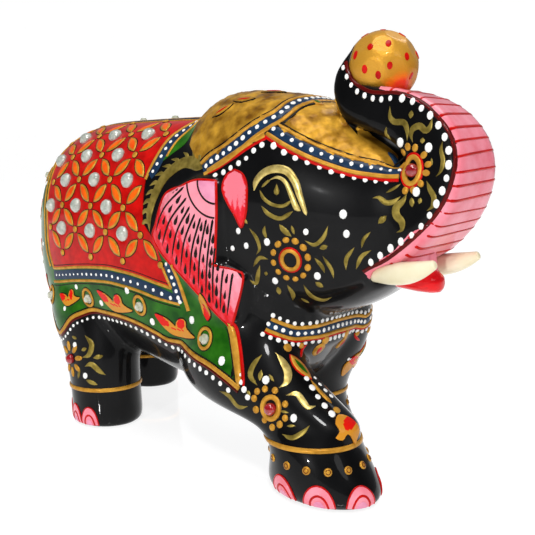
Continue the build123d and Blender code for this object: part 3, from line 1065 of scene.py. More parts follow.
def ear():
    REGION[0] = "ear"
    low_edge = np.array([(-21.0, 76)] + EAR_OUTLINE[5:11])

    def tones(spot, u, v, gap):
        away = edge_gap(np.array([(u, v)]), low_edge)[0]
        streak = 0.16 * math.sin(u * 3.1 + 0.6 * v)
        return min(1.0, max(0.0, away / EAR_RED_REACH + streak))

    zone("ear", EAR_OUTLINE, oblique, 0.15, 0.9, tones=tones)
    rim = on_map(EAR_OUTLINE + EAR_OUTLINE[:1], oblique, 0.8)
    trace("red", rim, 0.40, 0.34)

    # two arcs round the top front corner, and lines that fan out from the outer one
    def arc(wide, tall):
        turns = np.linspace(0.0, 1.52, 10)
        return [tuple(EAR_CORNER + (-wide * math.cos(t), -tall * math.sin(t))) for t in turns]

    zone("mauve", [tuple(EAR_CORNER)] + arc(5.2, 6.0), oblique, 0.22, 0.9)
    for wide, tall in ((5.6, 6.4), (9.0, 10.4)):
        trace("black", on_map(arc(wide, tall), oblique, 0.6), 0.30, 0.36)
    lines = []
    for k, (top, low) in enumerate(EAR_LINES):
        top, low = np.array(top), np.array(low)
        bow = np.array((-1.6, 0.8)) * (1 - k / 9)
        lines.append(smooth_path([top, 0.5 * (top + low) + bow, low], 0.8))
        trace("black", [oblique(*p)[0] for p in lines[-1]], lambda s: 0.40 - 0.14 * s, 0.36, (0.03, 0.3))
    for a, b in zip(lines, lines[1:]):
        count = max(2, int(len(a) * 0.8 / DROP_PITCH))
        for k in range(count):
            share = (k + 0.75) / (count + 0.25)
            low, high = int(share * (len(a) - 1)), int(share * (len(b) - 1))
            spot = oblique(*(0.5 * (a[low] + b[high])))[0]
            way = b[max(high - 1, 0)] - b[min(len(b) - 1, high + 1)]
            size = 1.0 + rng.uniform(-0.12, 0.2)
            outline = [(along * size, across * size) for along, across in DROP]
            blob("black", spot, (OBLIQUE_X * way[0], OBLIQUE_Y * way[0], way[1]), outline, 0.25, lift=0.15)

    # the olive feather on the fold behind the ear
    feather = [
        (12.8, -25.4, 89.8), (7, -25, 91.6), (2.8, -25, 91.2), (-2.0, -27, 87.4), (-4.8, -28.8, 82),
        (-6.4, -29.9, 76), (-6.0, -30.2, 70.6),
    ]
    stroke("olive", feather, lambda s: 2.2 - 1.0 * s, 0.34, (0.12, 0.22))
    even = smooth_path(feather, 1.0)
    for k in range(3, len(even) - 3, 3):
        way = unit(even[k + 1] - even[k - 1])
        spot, normal = SURFACE.near(even[k])
        out = unit(np.cross(normal, way))
        if out[0] > 0 or (k < 8 and out[2] < 0):
            out = -out
        barb = [spot - out * 0.3, spot + out * 2.0 - way * 0.2, spot + out * 3.6 + way * 1.8]
        stroke("olive", barb, 0.8, 0.32, (0.0, 0.75))
    # pink tear at the temple
    tear = [
        (25.6, 89.4), (28.4, 88.3), (30.1, 85.4), (30.3, 81), (30.0, 77.4), (28.4, 73.4), (26.2, 76.6),
        (23.4, 80.4), (22.0, 84.4), (22.8, 87.8),
    ]

    def tear_tones(spot, u, v, gap):
        streaked = (v - TEAR_LOW) / TEAR_FADE + 0.13 * math.sin(3.4 * u)
        return min(1.0, max(0.0, streaked)) if gap > 0.55 else 0.2

    zone("tear", tear, side_on, 0.2, 0.7, tones=tear_tones, rounded=True)
    trace("red", on_map(tear + tear[:1], side_on, 0.6), 0.3, 0.36)


def eye():
    REGION[0] = "face"
    y = -24.0
    stroke(
        "bright",
        [
            (32.4, y, 83.6), (33.0, y, 86.2), (35.4, y, 88.6), (38.8, y, 89.7), (42.4, y, 89.2),
            (45.0, y, 86.4), (46.6, y, 82.4), (48.6, y, 77.4),
        ],
        lambda s: 0.42 + 0.75 * math.sin(math.pi * min(1.0, 0.15 + s * 0.8)), 0.42, (0.1, 0.04),
    )
    stroke(
        "bright",
        [
            (37.0, y, 86.6), (39.6, y, 87.4), (42.0, y, 86.2), (43.8, y, 83.0), (45.4, y, 79.6),
            (46.8, y, 78.6),
        ],
        lambda s: 0.35 + 0.6 * s, 0.42, (0.25, 0.12),
    )
    stroke(
        "olive", [(34.2, y, 83.8), (35.6, y, 81.6), (38.4, y, 80.0), (41.6, y, 79.8), (44.2, y, 81.4)], 0.5,
        0.38, (0.2, 0.15),
    )
    stroke(
        "olive", [(34.8, y, 79.6), (37.2, y, 77.4), (40.8, y, 76.4), (44.4, y, 78.4)], 0.62, 0.38,
        (0.25, 0.2),
    )
    stroke("olive", [(34.8, y, 84.6), (36.4, y, 86.0), (37.4, y, 86.6)], 0.4, 0.36, (0.3, 0.2))
    blob(
        "olive", (39.4, y, 83.8), (0, 0, 1),
        [
            (1.9, 0), (0.9, 0.45), (0.0, 0.85), (-0.9, 0.7), (-1.3, 0), (-0.9, -0.7), (0.0, -0.85),
            (0.9, -0.45),
        ],
        0.36,
    )


def curl(finish, points, half):
    """A brush mark that swells in the middle and ends in points."""
    stroke(
        finish, points, lambda s: half * (0.4 + 0.6 * math.sin(math.pi * s) ** 0.9), 0.18, (0.3, 0.3),
        step=0.55,
    )


TRUNK_HALF = ((-95, -60, -45, 0, 45, 90, 110), (15.2, 14.2, 13.4, 11.7, 10.9, 10.3, 9.4))
TRUNK_LOW, TRUNK_HIGH = -92.0, 103.0
TRUNK_STRIPES, TRUNK_STRIPE_PITCH = 17, 11.2
DEGREE_LENGTH = 0.36


def trunk():
    """The pink front of the trunk with its red stripes, by the angle round the trunk's sweep."""
    REGION[0] = "trunk"

    def half(angle):
        return np.interp(angle, *TRUNK_HALF) - 0.2

    outline = [(b, -half(b)) for b in np.linspace(TRUNK_LOW, TRUNK_HIGH, 40)]
    outline += [(b, half(b)) for b in np.linspace(TRUNK_HIGH, TRUNK_LOW, 40)]
    level = [(b * DEGREE_LENGTH, v) for b, v in outline]
    zone("pink", level, lambda u, v: trunk_front(u / DEGREE_LENGTH, v), 0.14, 1.2)
    for k in range(TRUNK_STRIPES):
        b = -84 + TRUNK_STRIPE_PITCH * k + rng.uniform(-1.2, 1.2)
        w = half(b)
        tilt = 2.0 + rng.uniform(-1.5, 1.5)
        path = [trunk_front(b + tilt * v / w, v)[0] for v in np.linspace(-w, w, 22)]
        trace("red", path, 0.36 + rng.uniform(-0.08, 0.14), 0.3)


# scrolls: half the width of the brush mark, then its points
TRUNK_SCROLLS = [
    (0.85, (65.9, -10.7, 105.6), (66.1, -10.9, 103.0), (67.5, -11.0, 101.6), (70.3, -11.2, 101.3),
     (71.4, -11.3, 99.3), (71.5, -11.5, 96.7)),
    (0.55, (65.0, -10.9, 100.4), (64.7, -11.0, 98.4), (65.6, -11.2, 96.2)),
    (0.9, (78.2, -11.4, 102.3), (77.8, -11.5, 99.9), (76.6, -11.5, 99.1), (74.9, -11.4, 100.3),
     (73.0, -11.4, 99.6), (72.6, -11.4, 98.0), (73.2, -11.5, 96.3)),
    (0.62, (81.4, -11.7, 96.5), (81.2, -11.9, 94.3), (81.9, -12.0, 91.7), (81.5, -12.2, 89.2),
     (80.3, -12.4, 87.8)),
    (0.3, (78.7, -12.0, 92.4), (79.1, -12.1, 90.6)),
    (0.75, (77.9, -12.6, 86.8), (79.0, -12.8, 84.7), (80.2, -12.9, 82.8), (80.0, -13.1, 80.6),
     (78.6, -13.3, 79.4)),
    (1.1, (73.1, -13.5, 83.8), (72.2, -13.9, 81.7), (70.6, -14.3, 80.0), (70.7, -14.3, 78.0),
     (72.2, -14.2, 76.4), (72.3, -14.3, 74.4), (70.9, -14.5, 73.7)),
    (0.7, (74.4, -13.5, 82.6), (74.7, -13.6, 80.2)),
    (0.6, (76.8, -13.2, 82.6), (76.5, -13.4, 81.0)),
    (0.75, (71.5, -13.9, 82.8), (69.5, -14.3, 81.3), (67.7, -14.8, 81.2), (65.9, -15.2, 82.4),
     (64.4, -15.6, 82.2)),
    (0.85, (68.2, -15.1, 77.8), (66.2, -15.6, 75.8)),
    (0.4, (67.6, -14.5, 83.6), (69.8, -14.0, 84.9), (71.2, -13.6, 85.9)),
    (0.7, (72.4, -11.1, 104.2), (72.2, -11.2, 102.2)),
    (0.7, (76.0, -11.6, 97.4), (75.9, -11.6, 95.9)),
    (0.6, (59.9, -16.9, 69.3), (57.7, -17.3, 66.2), (57.1, -16.6, 63.0)),
    (0.6, (64.3, -15.6, 68.8), (61.6, -16.1, 66.9), (59.6, -15.5, 63.4)),
    (0.5, (64.2, -15.8, 73.6), (62.4, -16.2, 71.6), (61.8, -16.4, 69.2)),
]


def trunk_side():
    REGION[0] = "trunk"
    edge = [
        (50.6, -9.2, 118.5), (52.2, -9.4, 115.6), (54.8, -9.7, 112.4), (58.9, -10.1, 110.0),
        (63.3, -10.5, 109.4), (68, -10.7, 109.6), (73.5, -10.5, 107.6), (77.7, -10.9, 104.5),
        (81.2, -11.0, 101), (83.8, -11.1, 97), (85.0, -11.5, 91.7), (84.5, -12.1, 87), (83.2, -12.6, 82.6),
        (80.6, -13.2, 78), (77, -13.8, 73.9), (73.4, -14.4, 70.5), (69.6, -14.8, 67.4), (66, -15.0, 64.9),
        (61.6, -15.2, 62.4),
    ]
    beside = shifted(edge, 1.3)
    trace("pink", beside[len(beside) // 2:], lambda s: 1.0 + 0.6 * s, 0.15)
    beside = shifted(edge, 3.4)
    trace("pink", beside[int(0.7 * len(beside)):], 1.7, 0.15, (0.3, 0.05))
    stroke("darkred", edge, 0.55, 0.26)
    rim = [
        (49.9, -9.2, 117.1), (53.3, -9.7, 111.7), (57, -10.1, 109.2), (62, -10.4, 107.6),
        (66.7, -10.7, 107.7), (71.4, -10.9, 107.2), (74.1, -11.2, 105.4), (77.2, -11.3, 103.2),
        (79.7, -11.5, 100.7), (81.8, -11.7, 97.6), (83.2, -11.9, 94.0), (83.3, -12.2, 89.8),
        (82.7, -12.5, 85.9), (80.3, -13.1, 79.9), (76.8, -13.8, 74.7), (74.4, -14.2, 72.7),
        (71.6, -14.6, 71), (67.4, -15.1, 68), (63.6, -15.3, 65.2),
    ]
    dots_along("white", rim[:5], 2.75, 0.62, start=0.3, tall=1.25)
    dots_along("white", rim[4:], 3.4, 0.8, start=2.6, tall=1.3)
    centre = (73.7, -12.3, 89.3)
    ring("red", centre, 2.75, 0.45, 0.3, stretch=1.55)
    ring("ochre", centre, 2.15, 0.72, 0.5, stretch=1.6)
    for x, y, z in (
        (69.9, -11.2, 93.6), (71.8, -11.6, 95.2), (74.0, -11.7, 94.9), (76.6, -11.9, 93.1),
        (78.0, -12.1, 90.8), (77.6, -12.4, 88.7), (76.4, -12.8, 86.1), (74.6, -13.2, 84.5),
        (72.6, -13.6, 84.3),
    ):
        dot("ochre", (x, y, z), 0.88, stretch=1.25, ahead=(x - centre[0], 0, z - centre[2]))
    for spot in ((69.4, -11.4, 96.3), (77.8, -11.8, 94.9), (75.5, -13.2, 84.0)):
        dot("white", spot, 1.0, stretch=1.3, lift=0.1)
    for half, *points in TRUNK_SCROLLS:
        curl("olive", points, half)


CHEEK_SCROLLS = [
    (0.6, (31.0, -25.8, 73.3), (33.2, -25.5, 70.8), (34.0, -25.0, 67.9), (32.7, -24.9, 66.0)),
    (0.6, (36.1, -25.2, 74.2), (35.8, -25.1, 72.6), (36.6, -25.0, 70.6)),
    (0.85, (40.3, -24.0, 74.8), (41.6, -23.4, 73.2), (43.6, -22.8, 71.6)),
    (0.5, (43.6, -22.9, 74.6), (44.4, -22.6, 72.2)),
    (0.62, (47.1, -21.4, 70.6), (49.6, -20.5, 69.6), (52.0, -19.9, 71.6), (53.3, -19.7, 74.8)),
    (0.7, (50.9, -20.0, 68.6), (53.0, -19.3, 69.4)),
    (0.6, (49.4, -20.2, 66.0), (51.1, -19.4, 63.8), (51.6, -18.7, 61.8)),
    (0.55, (51.6, -19.6, 66.6), (53.3, -18.0, 63.2), (53.6, -17.2, 60.4)),
    (0.6, (31.0, -24.3, 62.4), (33.6, -24.3, 65.2), (36.3, -23.9, 64.9)),
    (0.7, (33.3, -24.1, 63.0), (31.9, -23.2, 59.9), (30.8, -23.0, 57.5), (28.9, -23.7, 58.6)),
    (0.6, (35.0, -23.0, 61.4), (34.4, -22.6, 60.2)),
    (0.8, (37.2, -20.8, 57.0), (37.0, -19.8, 54.6)),
    (0.75, (40.3, -20.5, 57.8), (40.9, -18.8, 55.2), (40.0, -17.7, 52.9)),
    (0.75, (44.8, -18.8, 58.4), (45.9, -16.8, 54.9), (48.2, -14.8, 53.6), (50.9, -14.2, 54.8)),
    (0.85, (48.4, -18.3, 59.2), (50.2, -17.4, 57.6)),
    (0.5, (42.6, -17.2, 53.8), (44.1, -15.4, 52.4)),
    (0.5, (28.8, -24.6, 76.0), (30.4, -24.9, 74.6)),
]


def cheek():
    """A gold ring edged in red, with gold dots round it, then scrolls and white dots."""
    REGION[0] = "face"
    centre, radius, stretch, petals, reach = (42.7, -22.1, 65.1), 2.45, 1.1, 12, 5.2
    ring("red", centre, radius + 0.55, 0.42, 0.3, stretch=stretch)
    ring("ochre", centre, radius, 0.58, 0.5, stretch=stretch)
    where = tangent(centre, UP)
    for k in range(petals):
        turn = 2 * math.pi * (k + 0.35) / petals
        spot = where(reach * stretch * math.cos(turn), reach * math.sin(turn))[0]
        size = 0.9 * (1 + rng.uniform(-SIZE_SPREAD, SIZE_SPREAD))
        dot("ochre", spot, size, ahead=(math.cos(turn), 0, math.sin(turn)), stretch=1.2)
    for half, *points in CHEEK_SCROLLS:
        curl("olive", points, half)
    for *spot, size in (
        (27.2, -26, 72.4, 0.8), (24.6, -25.7, 67.3, 0.7), (29.6, -25.3, 68.4, 0.8),
        (36.5, -24.6, 69.8, 0.95), (57.1, -18.3, 77.9, 1.1), (58, -17.9, 72.8, 0.95),
        (47.5, -21.6, 73.0, 0.8), (37.0, -21.7, 58.8, 0.95), (49.4, -18.8, 61.0, 1.0),
    ):
        dot("white", spot, size, stretch=1.2, lift=0.05)


both_sides(headdress)
both_sides(ear)
both_sides(eye)
both_sides(cheek)
both_sides(trunk_side)
trunk()


# ---- chest and legs
SHOULDER = np.array((42.0, -29.9, 24.7))
SHOULDER_SCROLLS = [
    (1.25, "bright", (37.8, -22.2, 38.2), (40.0, -21.9, 36.0), (42.4, -22.5, 33.6), (43.6, -24.4, 31.3),
     (42.6, -26.4, 29.9)),
    (0.95, "bright", (45.0, -26.1, 28.2), (47.3, -24.5, 28.8), (49.3, -24.4, 27.1), (51.1, -24.2, 25.6),
     (52.8, -23.1, 26.4)),
    (0.75, "olive", (46.4, -29.4, 18.6), (49.4, -28.8, 18.0), (51.7, -27.4, 19.6), (53.2, -26.3, 21.8)),
    (0.85, "olive", (35.3, -25.1, 38.0), (34.1, -27.3, 35.1), (34.3, -28.7, 32.4), (37.0, -28.9, 30.2)),
    (0.7, "olive", (36.7, -27.0, 34.2), (37.2, -28.2, 31.4)),
    (0.5, "olive", (38.8, -26.2, 33.0), (40.8, -26.3, 31.4)),
    (0.8, "olive", (24.3, -31.1, 26.6), (28.0, -31.1, 26.0), (31.2, -30.9, 23.4), (34.9, -30.6, 24.2)),
    (0.4, "olive", (47.3, -28.5, 20.9), (49.6, -27.8, 21.3)),
    (0.5, "olive", (34.2, -30.4, 28.6), (35.6, -30.2, 27.4)),
    (0.4, "olive", (44.8, -28.6, 24.6), (47.0, -27.4, 24.2)),
]


def shoulder():
    """The ring, dots and scrolls about the shoulder's red stone."""
    REGION[0] = "legs"
    found = on_right(stones(side_name("shoulder_ruby"))[0])
    move = found - SHOULDER
    ring("ochre", SHOULDER + move + (0.2, 0.0, 0.4), 2.5, 0.75, 0.5, stretch=1.2)
    for spot in (
        (39.3, -28.3, 29.5), (41.9, -27.2, 29.3), (37.3, -29.3, 28.7), (36.8, -30.0, 26.8),
        (37.6, -30.3, 23.8), (40.3, -29.8, 21.3), (43.0, -29.5, 19.8), (45.2, -29.0, 21.0),
        (46.5, -28.4, 22.9), (45.6, -27.3, 26.3),
    ):
        dot("ochre", spot + move, 0.95 + rng.uniform(-0.1, 0.1), stretch=1.1)
    for half, finish, *points in SHOULDER_SCROLLS:
        curl(finish, [p + move for p in points], half)
    for *spot, size in ((38.7, -27.3, 31.7, 1.1), (48.7, -27.4, 23.1, 1.0)):
        dot("white", spot + move, size, stretch=1.2)


HIND = np.array((-48.5, -31.6, 23.3))
HIND_SCROLLS = [
    (1.05, (-41.6, -30.1, 32.6), (-38.9, -29.3, 29.7), (-39.5, -30.1, 26.1), (-42.1, -31.1, 24.8)),
    (0.7, (-42.6, -30.9, 27.2), (-40.6, -30.2, 28.2)),
    (0.8, (-38.0, -29.3, 25.0), (-34.9, -27.4, 25.9)),
    (1.0, (-40.9, -31.1, 21.8), (-38.4, -30.0, 22.8), (-35.7, -28.6, 20.6), (-34.0, -27.2, 19.2)),
    (0.75, (-40.3, -31.3, 17.2), (-36.0, -29.4, 15.8)),
    (0.6, (-43.1, -31.6, 20.8), (-44.2, -31.9, 17.0)),
    (0.6, (-47.4, -31.6, 31.6), (-45.0, -31.2, 31.0)),
]


def hind():
    REGION[0] = "legs"
    found = on_right(stones(side_name("hind_ruby"))[0])
    move = found - HIND
    for angle in range(0, 360, 45):
        turn = math.radians(angle + 12)
        way = np.array((math.cos(turn), 0.0, math.sin(turn)))
        blob("ochre", found + way * 4.6, way, round_outline(1.9, 0.95, 10), 0.4)
    for half, *points in HIND_SCROLLS:
        curl("olive", [p + move for p in points], half)
    for spot in ((-45.8, -31.5, 28.7), (-40.6, -31.2, 18.6)):
        dot("white", spot + move, 0.95, stretch=1.2)


def round_leg(axis, height, count=40, rock=0.0):
    """A level line round a leg, found from inside it."""
    ways = [(math.cos(t), math.sin(t), 0.0) for t in np.linspace(0.0, 2 * math.pi, count, endpoint=False)]
    return [SURFACE.ray((*axis, height + rock * way[0]), way)[0] for way in ways]


def toenail(axis, angle, wide, tall):
    turn = math.radians(angle)
    place = SURFACE.ray((*axis, NAIL_HEIGHT), (math.cos(turn), math.sin(turn), 0.0))[0]
    where = tangent(place, UP)
    turns = np.linspace(0.0, math.pi, 15)
    arch = [(NAIL_BASE + (tall - NAIL_BASE) * math.sin(t), wide * math.cos(t)) for t in turns]

    def shrunk(share):
        return [(NAIL_BASE + (a - NAIL_BASE) * share, c * share) for a, c in arch]

    zone("pink", arch, where, 0.2, 0.8)
    for share, half in ((0.98, 0.22), (0.56, 0.22 + 0.14)):
        stroke("red", [where(a, c)[0] for a, c in shrunk(share)], half, 0.36)
    zone("mauve", shrunk(0.34), where, 0.27, 0.7)


NAIL_BASE, NAIL_HEIGHT = -2.2, 3.0
# each foot: the leg's axis, the height of its gold line, the sole's middle, toenail angles, beads
FORE_NAILS_RIGHT, FORE_NAILS_LEFT, HIND_NAILS = (-113, -62, -17, 34), (-113, -66, -20, 26), (-140, -104, -69)
FEET = {
    RIGHT: (
        ((47.5, -18.2), 15.3, (52.0, -17.8), FORE_NAILS_RIGHT, True),
        ((-44.3, -20.0), 13.4, (-43.7, -20.0), HIND_NAILS, False),
    ),
    LEFT: (
        ((22.0, -18.0), 15.3, (20.3, -18.3), FORE_NAILS_LEFT, True),
        ((-67.5, -19.8), 13.4, (-68.0, -20.0), HIND_NAILS, False),
    ),
}


def feet():
    """Gold lines above the feet, beads on the front ones, toenails."""
    REGION[0] = "legs"
    for axis, height, sole, nails, beads in FEET[SURFACE.side]:
        trace("ochre", round_leg(axis, height, rock=0.5), 0.72, 0.45, closed=True)
        if beads:
            for spot in round_leg(sole, 10.8, 14):
                dot("ochre", spot, 1.2, 0.4)
                ring("darkred", spot, 0.62, 0.13, 0.5, count=12)
        for angle in nails:
            toenail(sole, angle, 4.6 if beads else 3.6, 4.6)


def chest():
    REGION[0] = "chest"
    band = [
        (34.0, -21.3, 45.8), (34.6, -20.3, 45.2), (37.1, -18.1, 43.9), (39.2, -15.4, 42.9),
        (42.6, -10.8, 42.8), (43.0, -5.0, 43.0), (43.0, 0.4, 43.1),
    ]
    stroke("navy", band, 1.15, 0.3)
    dots_along("white", band, 2.3, 0.62, lift=0.25)
    trace_beside(band, ("ochre", -1.75, 0.58, 0.45), ("ochre", 1.75, 0.58, 0.45), ("red", -2.55, 0.32, 0.32))
    for gap, size in ((-3.5, 0.72), (2.9, 0.66)):
        dots_along("white", shifted(band, gap), 2.3, size, smooth=False)
    for *spot, size in ((38.8, -18.5, 39.1, 1.35), (40.0, -13.4, 38.9, 1.0), (43.0, -5.4, 39.4, 1.5)):
        dot("ochre", spot, size, 0.45)
    drop = (42.5, -6.4, 34.8)
    blob("ochre", drop, (0, 0, 1), round_outline(2.9, 2.2, 14), 0.45)
    blob("red", drop, (0, 0, 1), round_outline(1.7, 0.8, 12), 0.3, lift=0.35)
    stroke("red", [(41.2, -11.8, 38.6), (40.2, -13.6, 37.0), (40.6, -15.4, 35.6)], 0.5, 0.32, (0.3, 0.4))


def front_ridge(move):
    """The strip with a green-hearted leaf that runs down the front of a leg to the knee."""
    REGION[0] = "legs"
    lenses(
        (43.4, -18.3, 34.3) + move, (5.4, 1.0, -4.9),
        ("red", 10.2, 4.6, 0.3, 0.0), ("ochre", 9.6, 3.9, 0.45, 0.0), ("green", 6.2, 1.5, 0.25, 0.35),
    )
    line = np.array(((47.0, -18.2, 31.2), (50.2, -18.5, 28.7), (54.1, -18.1, 26.0)))
    stroke("ochre", line + move, lambda s: 0.5 + 0.25 * s, 0.42, (0.3, 0.2))
    dot("ochre", (56.1, -18.5, 24.6) + move, 1.15, 0.45)
    row = np.array(((46.6, -15.6, 31.2), (49.7, -15.9, 28.8), (53.8, -15.1, 25.7)))
    dots_along("white", row + move, 2.4, 0.66)
    row = np.array(((46.2, -19.2, 31.6), (48.5, -19.8, 29.8), (52.2, -20.7, 26.9), (56.1, -20.8, 24.1)))
    dots_along("white", row + move, 3.1, 0.92)
    where = tangent((60.4, -19.5, 20.6) + move, UP)
    outline = [
        (-1.9, 4.5), (-3.0, 2.5), (-1.6, 0.6), (-5.1, -2.3), (-4.0, -3.7), (-0.8, -4.8), (3.0, -2.6),
        (4.4, 0.9), (2.2, 3.1), (-0.3, 2.8),
    ]

    def tones(spot, a, c, gap):
        return LEAF_RED if math.hypot(a - 1.4, (c + 0.6 + 0.5 * a) * 0.9) < 2.0 else LEAF_GOLD

    zone("leaf", outline, where, 0.4, 0.6, tones=tones, rounded=True)


def tail():
    REGION[0] = "tail"
    for height in (78.0, 72.0, 66.0, 60.0):
        path = [from_behind(v, height - 0.05 * v * v)[0] for v in np.linspace(-4.2, 4.2, 12)]
        trace("ochre", path, 0.5, 0.4, (0.15, 0.15))
        trace("red", shifted(path, 1.0), 0.3, 0.3, (0.2, 0.2))
    for v in np.linspace(-3.4, 3.4, 7):
        stroke(
            "olive",
            [
                from_behind(0.7 * v, 54.0)[0], from_behind(v, 48.0)[0],
                from_behind(1.05 * v, 42.5 + 0.3 * abs(v))[0],
            ],
            0.4, 0.34, (0.3, 0.4),
        )


both_sides(shoulder)
both_sides(hind)
both_sides(feet)
both_sides(chest)
front_ridge(np.zeros(3))
SURFACE.side = LEFT
front_ridge(np.array((-13.0, 0.0, 0.0)))
SURFACE.side = RIGHT
tail()


# ---- mouth
LOWER_LIP = [
    (62.0, 60.5, 7.4, 3.35), (66.0, 60.4, 7.0, 3.4), (71.0, 60.1, 6.2, 3.6), (74.4, 59.7, 4.6, 3.2),
    (76.2, 59.3, 3.0, 2.4), (76.8, 59.1, 1.5, 1.2),
]


def mouth():
    """The red lower lip between the tusks: x, height, half width and half depth of each section."""
    REGION[0] = "mouth"
    count = 24
    points = []
    for x, z, wide, tall in LOWER_LIP:
        for k in range(count):
            turn = 2 * math.pi * k / count
            points.append((x, wide * math.cos(turn), z + tall * math.sin(turn)))
    faces = [tuple(range(count))]
    for r in range(len(LOWER_LIP) - 1):
        for k in range(count):
            n = (k + 1) % count
            faces.append((r * count + k, (r + 1) * count + k, (r + 1) * count + n, r * count + n))
    faces.append(tuple(reversed(range((len(LOWER_LIP) - 1) * count, len(LOWER_LIP) * count))))
    layer("tongue").add(points, faces)


mouth()


# ---- ball and tusks
BALL_FLATS = [
    (-20, 55), (-60, 30), (10, 25), (5, -25), (-35, -10), (-75, -12), (-100, 35), (40, -5), (60, 35),
    (100, 0), (140, 30), (180, 5), (-140, 15), (120, 60),
]
FLAT_DEPTH = 0.95
# the way towards the trunk's pink side, round which the ball carries a painted reflection, then the angles
# where that painted reflection starts to fade and over which it fades
BALL_REFLECTION_WAY = (0.72, -0.22, -0.66)
PAINTED_REFLECTION_START, PAINTED_REFLECTION_FADE = 14, 34


def make_ball():
    """A hand-cut ball: a sphere with soft flats, with a red-orange painted reflection where it meets the
    trunk's pink side.
    """
    low, high = (np.array(c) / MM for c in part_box("ball"))
    radius = 0.5 * (high[0] - low[0])
    centre = np.array((0.5 * (low[0] + high[0]), 0.0, high[2] - radius))
    normals = np.array([heading(math.radians(az), math.radians(el)) for az, el in BALL_FLATS])
    reflection_way = unit(np.array(BALL_REFLECTION_WAY))
    rows, cols = 60, 96
    points, tones = [], []

    def put(way):
        facing = (normals @ way).max()
        reach = radius * min(0.995, FLAT_DEPTH / max(facing, 0.5))
        points.append(centre + way * reach)
        # painted reflection: red-orange near the way towards the trunk, fading to gold further off
        off_reflection = math.degrees(math.acos(np.clip(way @ reflection_way, -1, 1)))
        tones.append(min(1.0, max(0.0, (off_reflection - PAINTED_REFLECTION_START) / PAINTED_REFLECTION_FADE)))

    put(np.array(UP))
    for r in range(1, rows):
        lift = math.pi * r / rows
        for s in range(cols):
            turn = 2 * math.pi * s / cols
            put(np.array((
                math.sin(lift) * math.cos(turn), math.sin(lift) * math.sin(turn), math.cos(lift),
            )))
    put(-np.array(UP))
    faces = [(0, 1 + s, 1 + (s + 1) % cols) for s in range(cols)]
    for r in range(rows - 2):
        for s in range(cols):
            a, b = 1 + r * cols + s, 1 + r * cols + (s + 1) % cols
            faces.append((a, a + cols, b + cols, b))
    last = 1 + (rows - 2) * cols
    faces += [(last + (s + 1) % cols, last + s, len(points) - 1) for s in range(cols)]
    ball = add_painted("gilt_ball", points, faces, tones, "ball")
    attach(ball, "root")
    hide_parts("ball")
    return ball, centre, radius


BALL, BALL_CENTRE, BALL_RADIUS = make_ball()
BALL_DOTS = [
    (-131, 58), (-61, 80), (14, 57), (-81, 26), (-49, 32), (-109, 15), (-88, -9), (-66, -19), (-47, -5),
    (-18, 10), (26, 18), (0, -19), (60, 38), (95, 10), (130, 45), (160, 8), (75, -15), (-155, 30),
    (-142, -4), (48, -2), (120, -20), (-178, -14),
]
WOOD = SURFACE
SURFACE = Surface(BALL.data)
REGION[0] = "ball"
for az, el in BALL_DOTS:
    place = BALL_CENTRE + heading(math.radians(az), math.radians(el)) * BALL_RADIUS
    dot("red", place, 0.84, 0.16, stretch=1.35 + rng.uniform(-0.15, 0.2))
SURFACE = WOOD


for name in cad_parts:
    for word, finish in (
        ("pearls", "pearl"), ("rhinestones", "clear"), ("ruby", "ruby"), ("tusk", "ivory"),
    ):
        if word in name:
            dress(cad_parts[name].data, finish)


SHARP_EDGE = math.radians(62)


def build_layers():
    for (region, finish), made in LAYERS.items():
        piece = add_painted(f"{region}_{finish}", made.points, made.faces, made.tones, finish)
        piece.data.set_sharp_from_angle(angle=SHARP_EDGE)
        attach(piece, "root")


build_layers()
dress(SKIN.data, "lacquer")
smooth_shade(SKIN.data)
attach(SKIN, "root")
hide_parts("carved_body")


# ---- studio
CAMERA_PLACE = (164.0, -175.0, 90.0)
CAMERA_WAY = (-0.6406, 0.7554, -0.1374)
LENS = 48.45
SENSOR = 36.0
STAGE_REACH = 4.0
MIDDLE = np.array((0.0, 0.0, 0.06))
# each lamp, in metres and watts: azimuth, elevation and distance from the middle, size, power
LAMPS = {
    "key": (-46, 46, 1.0, 0.14, 3.6),
    "side": (-75.5, 13, 1.0, 0.032, 3.2),
    "fill": (-8, 30, 1.0, 0.35, 0.9),
    "top": (-70, 80, 1.0, 0.5, 4.0),
    "rear": (80, 52, 1.1, 0.5, 2.2),
}
SKY_WAY = (-0.62, 0.72, 0.30)
SKY = [
    (0.0, (0.085, 0.09, 0.10)), (0.50, (0.15, 0.155, 0.165)),
    (0.85, (0.24, 0.245, 0.255)), (1.0, (0.30, 0.305, 0.315)),
]
WHITE = (1.0, 1.0, 1.0, 1.0)
BLACK = (0.0, 0.0, 0.0, 1.0)


def aimed(obj, way):
    obj.rotation_euler = Vector(way).to_track_quat("-Z", "Y").to_euler()


def add_camera(scene):
    camera = bpy.data.objects.new("camera", bpy.data.cameras.new("camera"))
    scene.collection.objects.link(camera)
    camera.location = [c * MM for c in CAMERA_PLACE]
    aimed(camera, CAMERA_WAY)
    camera.data.lens = LENS
    camera.data.sensor_width = SENSOR
    camera.data.clip_start = 0.005
    scene.camera = camera


def add_sky(scene):
    """Light that is stronger from behind and above, as the photo's studio had it."""
    scene.world = bpy.data.worlds.new("studio")
    scene.world.use_nodes = True
    tree = scene.world.node_tree
    back = tree.nodes["Background"]
    where = tree.nodes.new("ShaderNodeTexCoord")
    view = tree.nodes.new("ShaderNodeVectorMath")
    view.operation = "DOT_PRODUCT"
    tree.links.new(where.outputs["Generated"], view.inputs[0])
    view.inputs[1].default_value = SKY_WAY
    tree.links.new(ramp(tree, view.outputs["Value"], SKY), back.inputs["Color"])
    set_inputs(back, Strength=1.0)


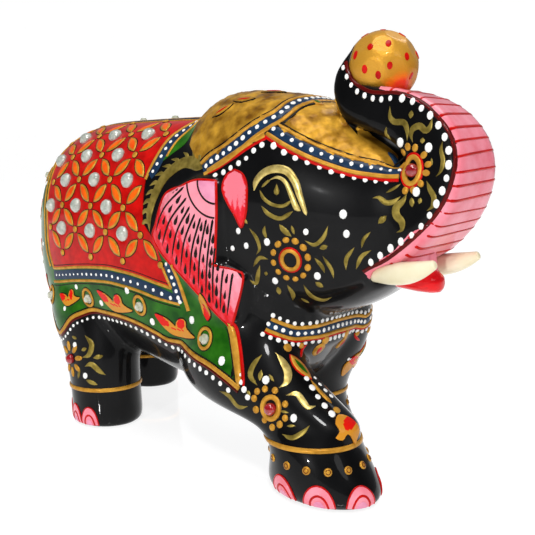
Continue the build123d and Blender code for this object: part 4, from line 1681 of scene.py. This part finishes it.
def add_lamp(scene, name, azimuth, elevation, reach, size, power):
    data = bpy.data.lights.new(name, "AREA")
    data.shape = "DISK"
    data.size = size
    data.energy = power
    obj = bpy.data.objects.new(name, data)
    scene.collection.objects.link(obj)
    place = MIDDLE + heading(math.radians(azimuth), math.radians(elevation)) * reach
    obj.location = place
    aimed(obj, MIDDLE - place)


def add_stage(name, points, faces):
    obj = add_object(name, points, faces)
    return obj


def add_floor():
    corners = [(x * STAGE_REACH, y * STAGE_REACH, 0) for x, y in ((-1, -1), (1, -1), (1, 1), (-1, 1))]
    floor = add_stage("floor", corners, [(0, 1, 2, 3)])
    material, tree, shader = node_material("pale_floor")
    greys = [(0.3, (0.34, 0.34, 0.34)), (0.7, (0.36, 0.36, 0.36))]
    tree.links.new(ramp(tree, noise_node(tree, 3.0), greys), shader.inputs["Base Color"])
    set_inputs(shader, Roughness=0.03, IOR=2.0, Emission_Color=WHITE, Emission_Strength=0.83)
    floor.data.materials.append(material)


def add_backdrop():
    """A pale globe all round, which only the camera sees."""
    rings, segments = 16, 48
    points, faces = [], []
    for r in range(rings + 1):
        lift = math.pi * (r / rings - 0.5)
        ways = [heading(2 * math.pi * s / segments, lift) for s in range(segments)]
        points += [tuple(way * 2 * STAGE_REACH) for way in ways]
    for r in range(rings):
        for s in range(segments):
            a, b = r * segments + s, r * segments + (s + 1) % segments
            faces.append((a, a + segments, b + segments, b))
    backdrop = add_stage("backdrop", points, faces)
    for kind in ("diffuse", "glossy", "transmission", "volume_scatter", "shadow"):
        setattr(backdrop, "visible_" + kind, False)
    material, tree, shader = node_material("pale_backdrop")
    greys = [(0.3, (0.99, 0.99, 0.99)), (0.7, (1.0, 1.0, 1.0))]
    tree.links.new(ramp(tree, noise_node(tree, 0.3), greys), shader.inputs["Emission Color"])
    set_inputs(shader, Base_Color=BLACK, Emission_Strength=1.0)
    backdrop.data.materials.append(material)


def studio():
    scene = bpy.context.scene
    add_camera(scene)
    add_sky(scene)
    for name, settings in LAMPS.items():
        add_lamp(scene, name, *settings)
    add_floor()
    add_backdrop()
    scene.view_settings.view_transform = "Standard"


studio()
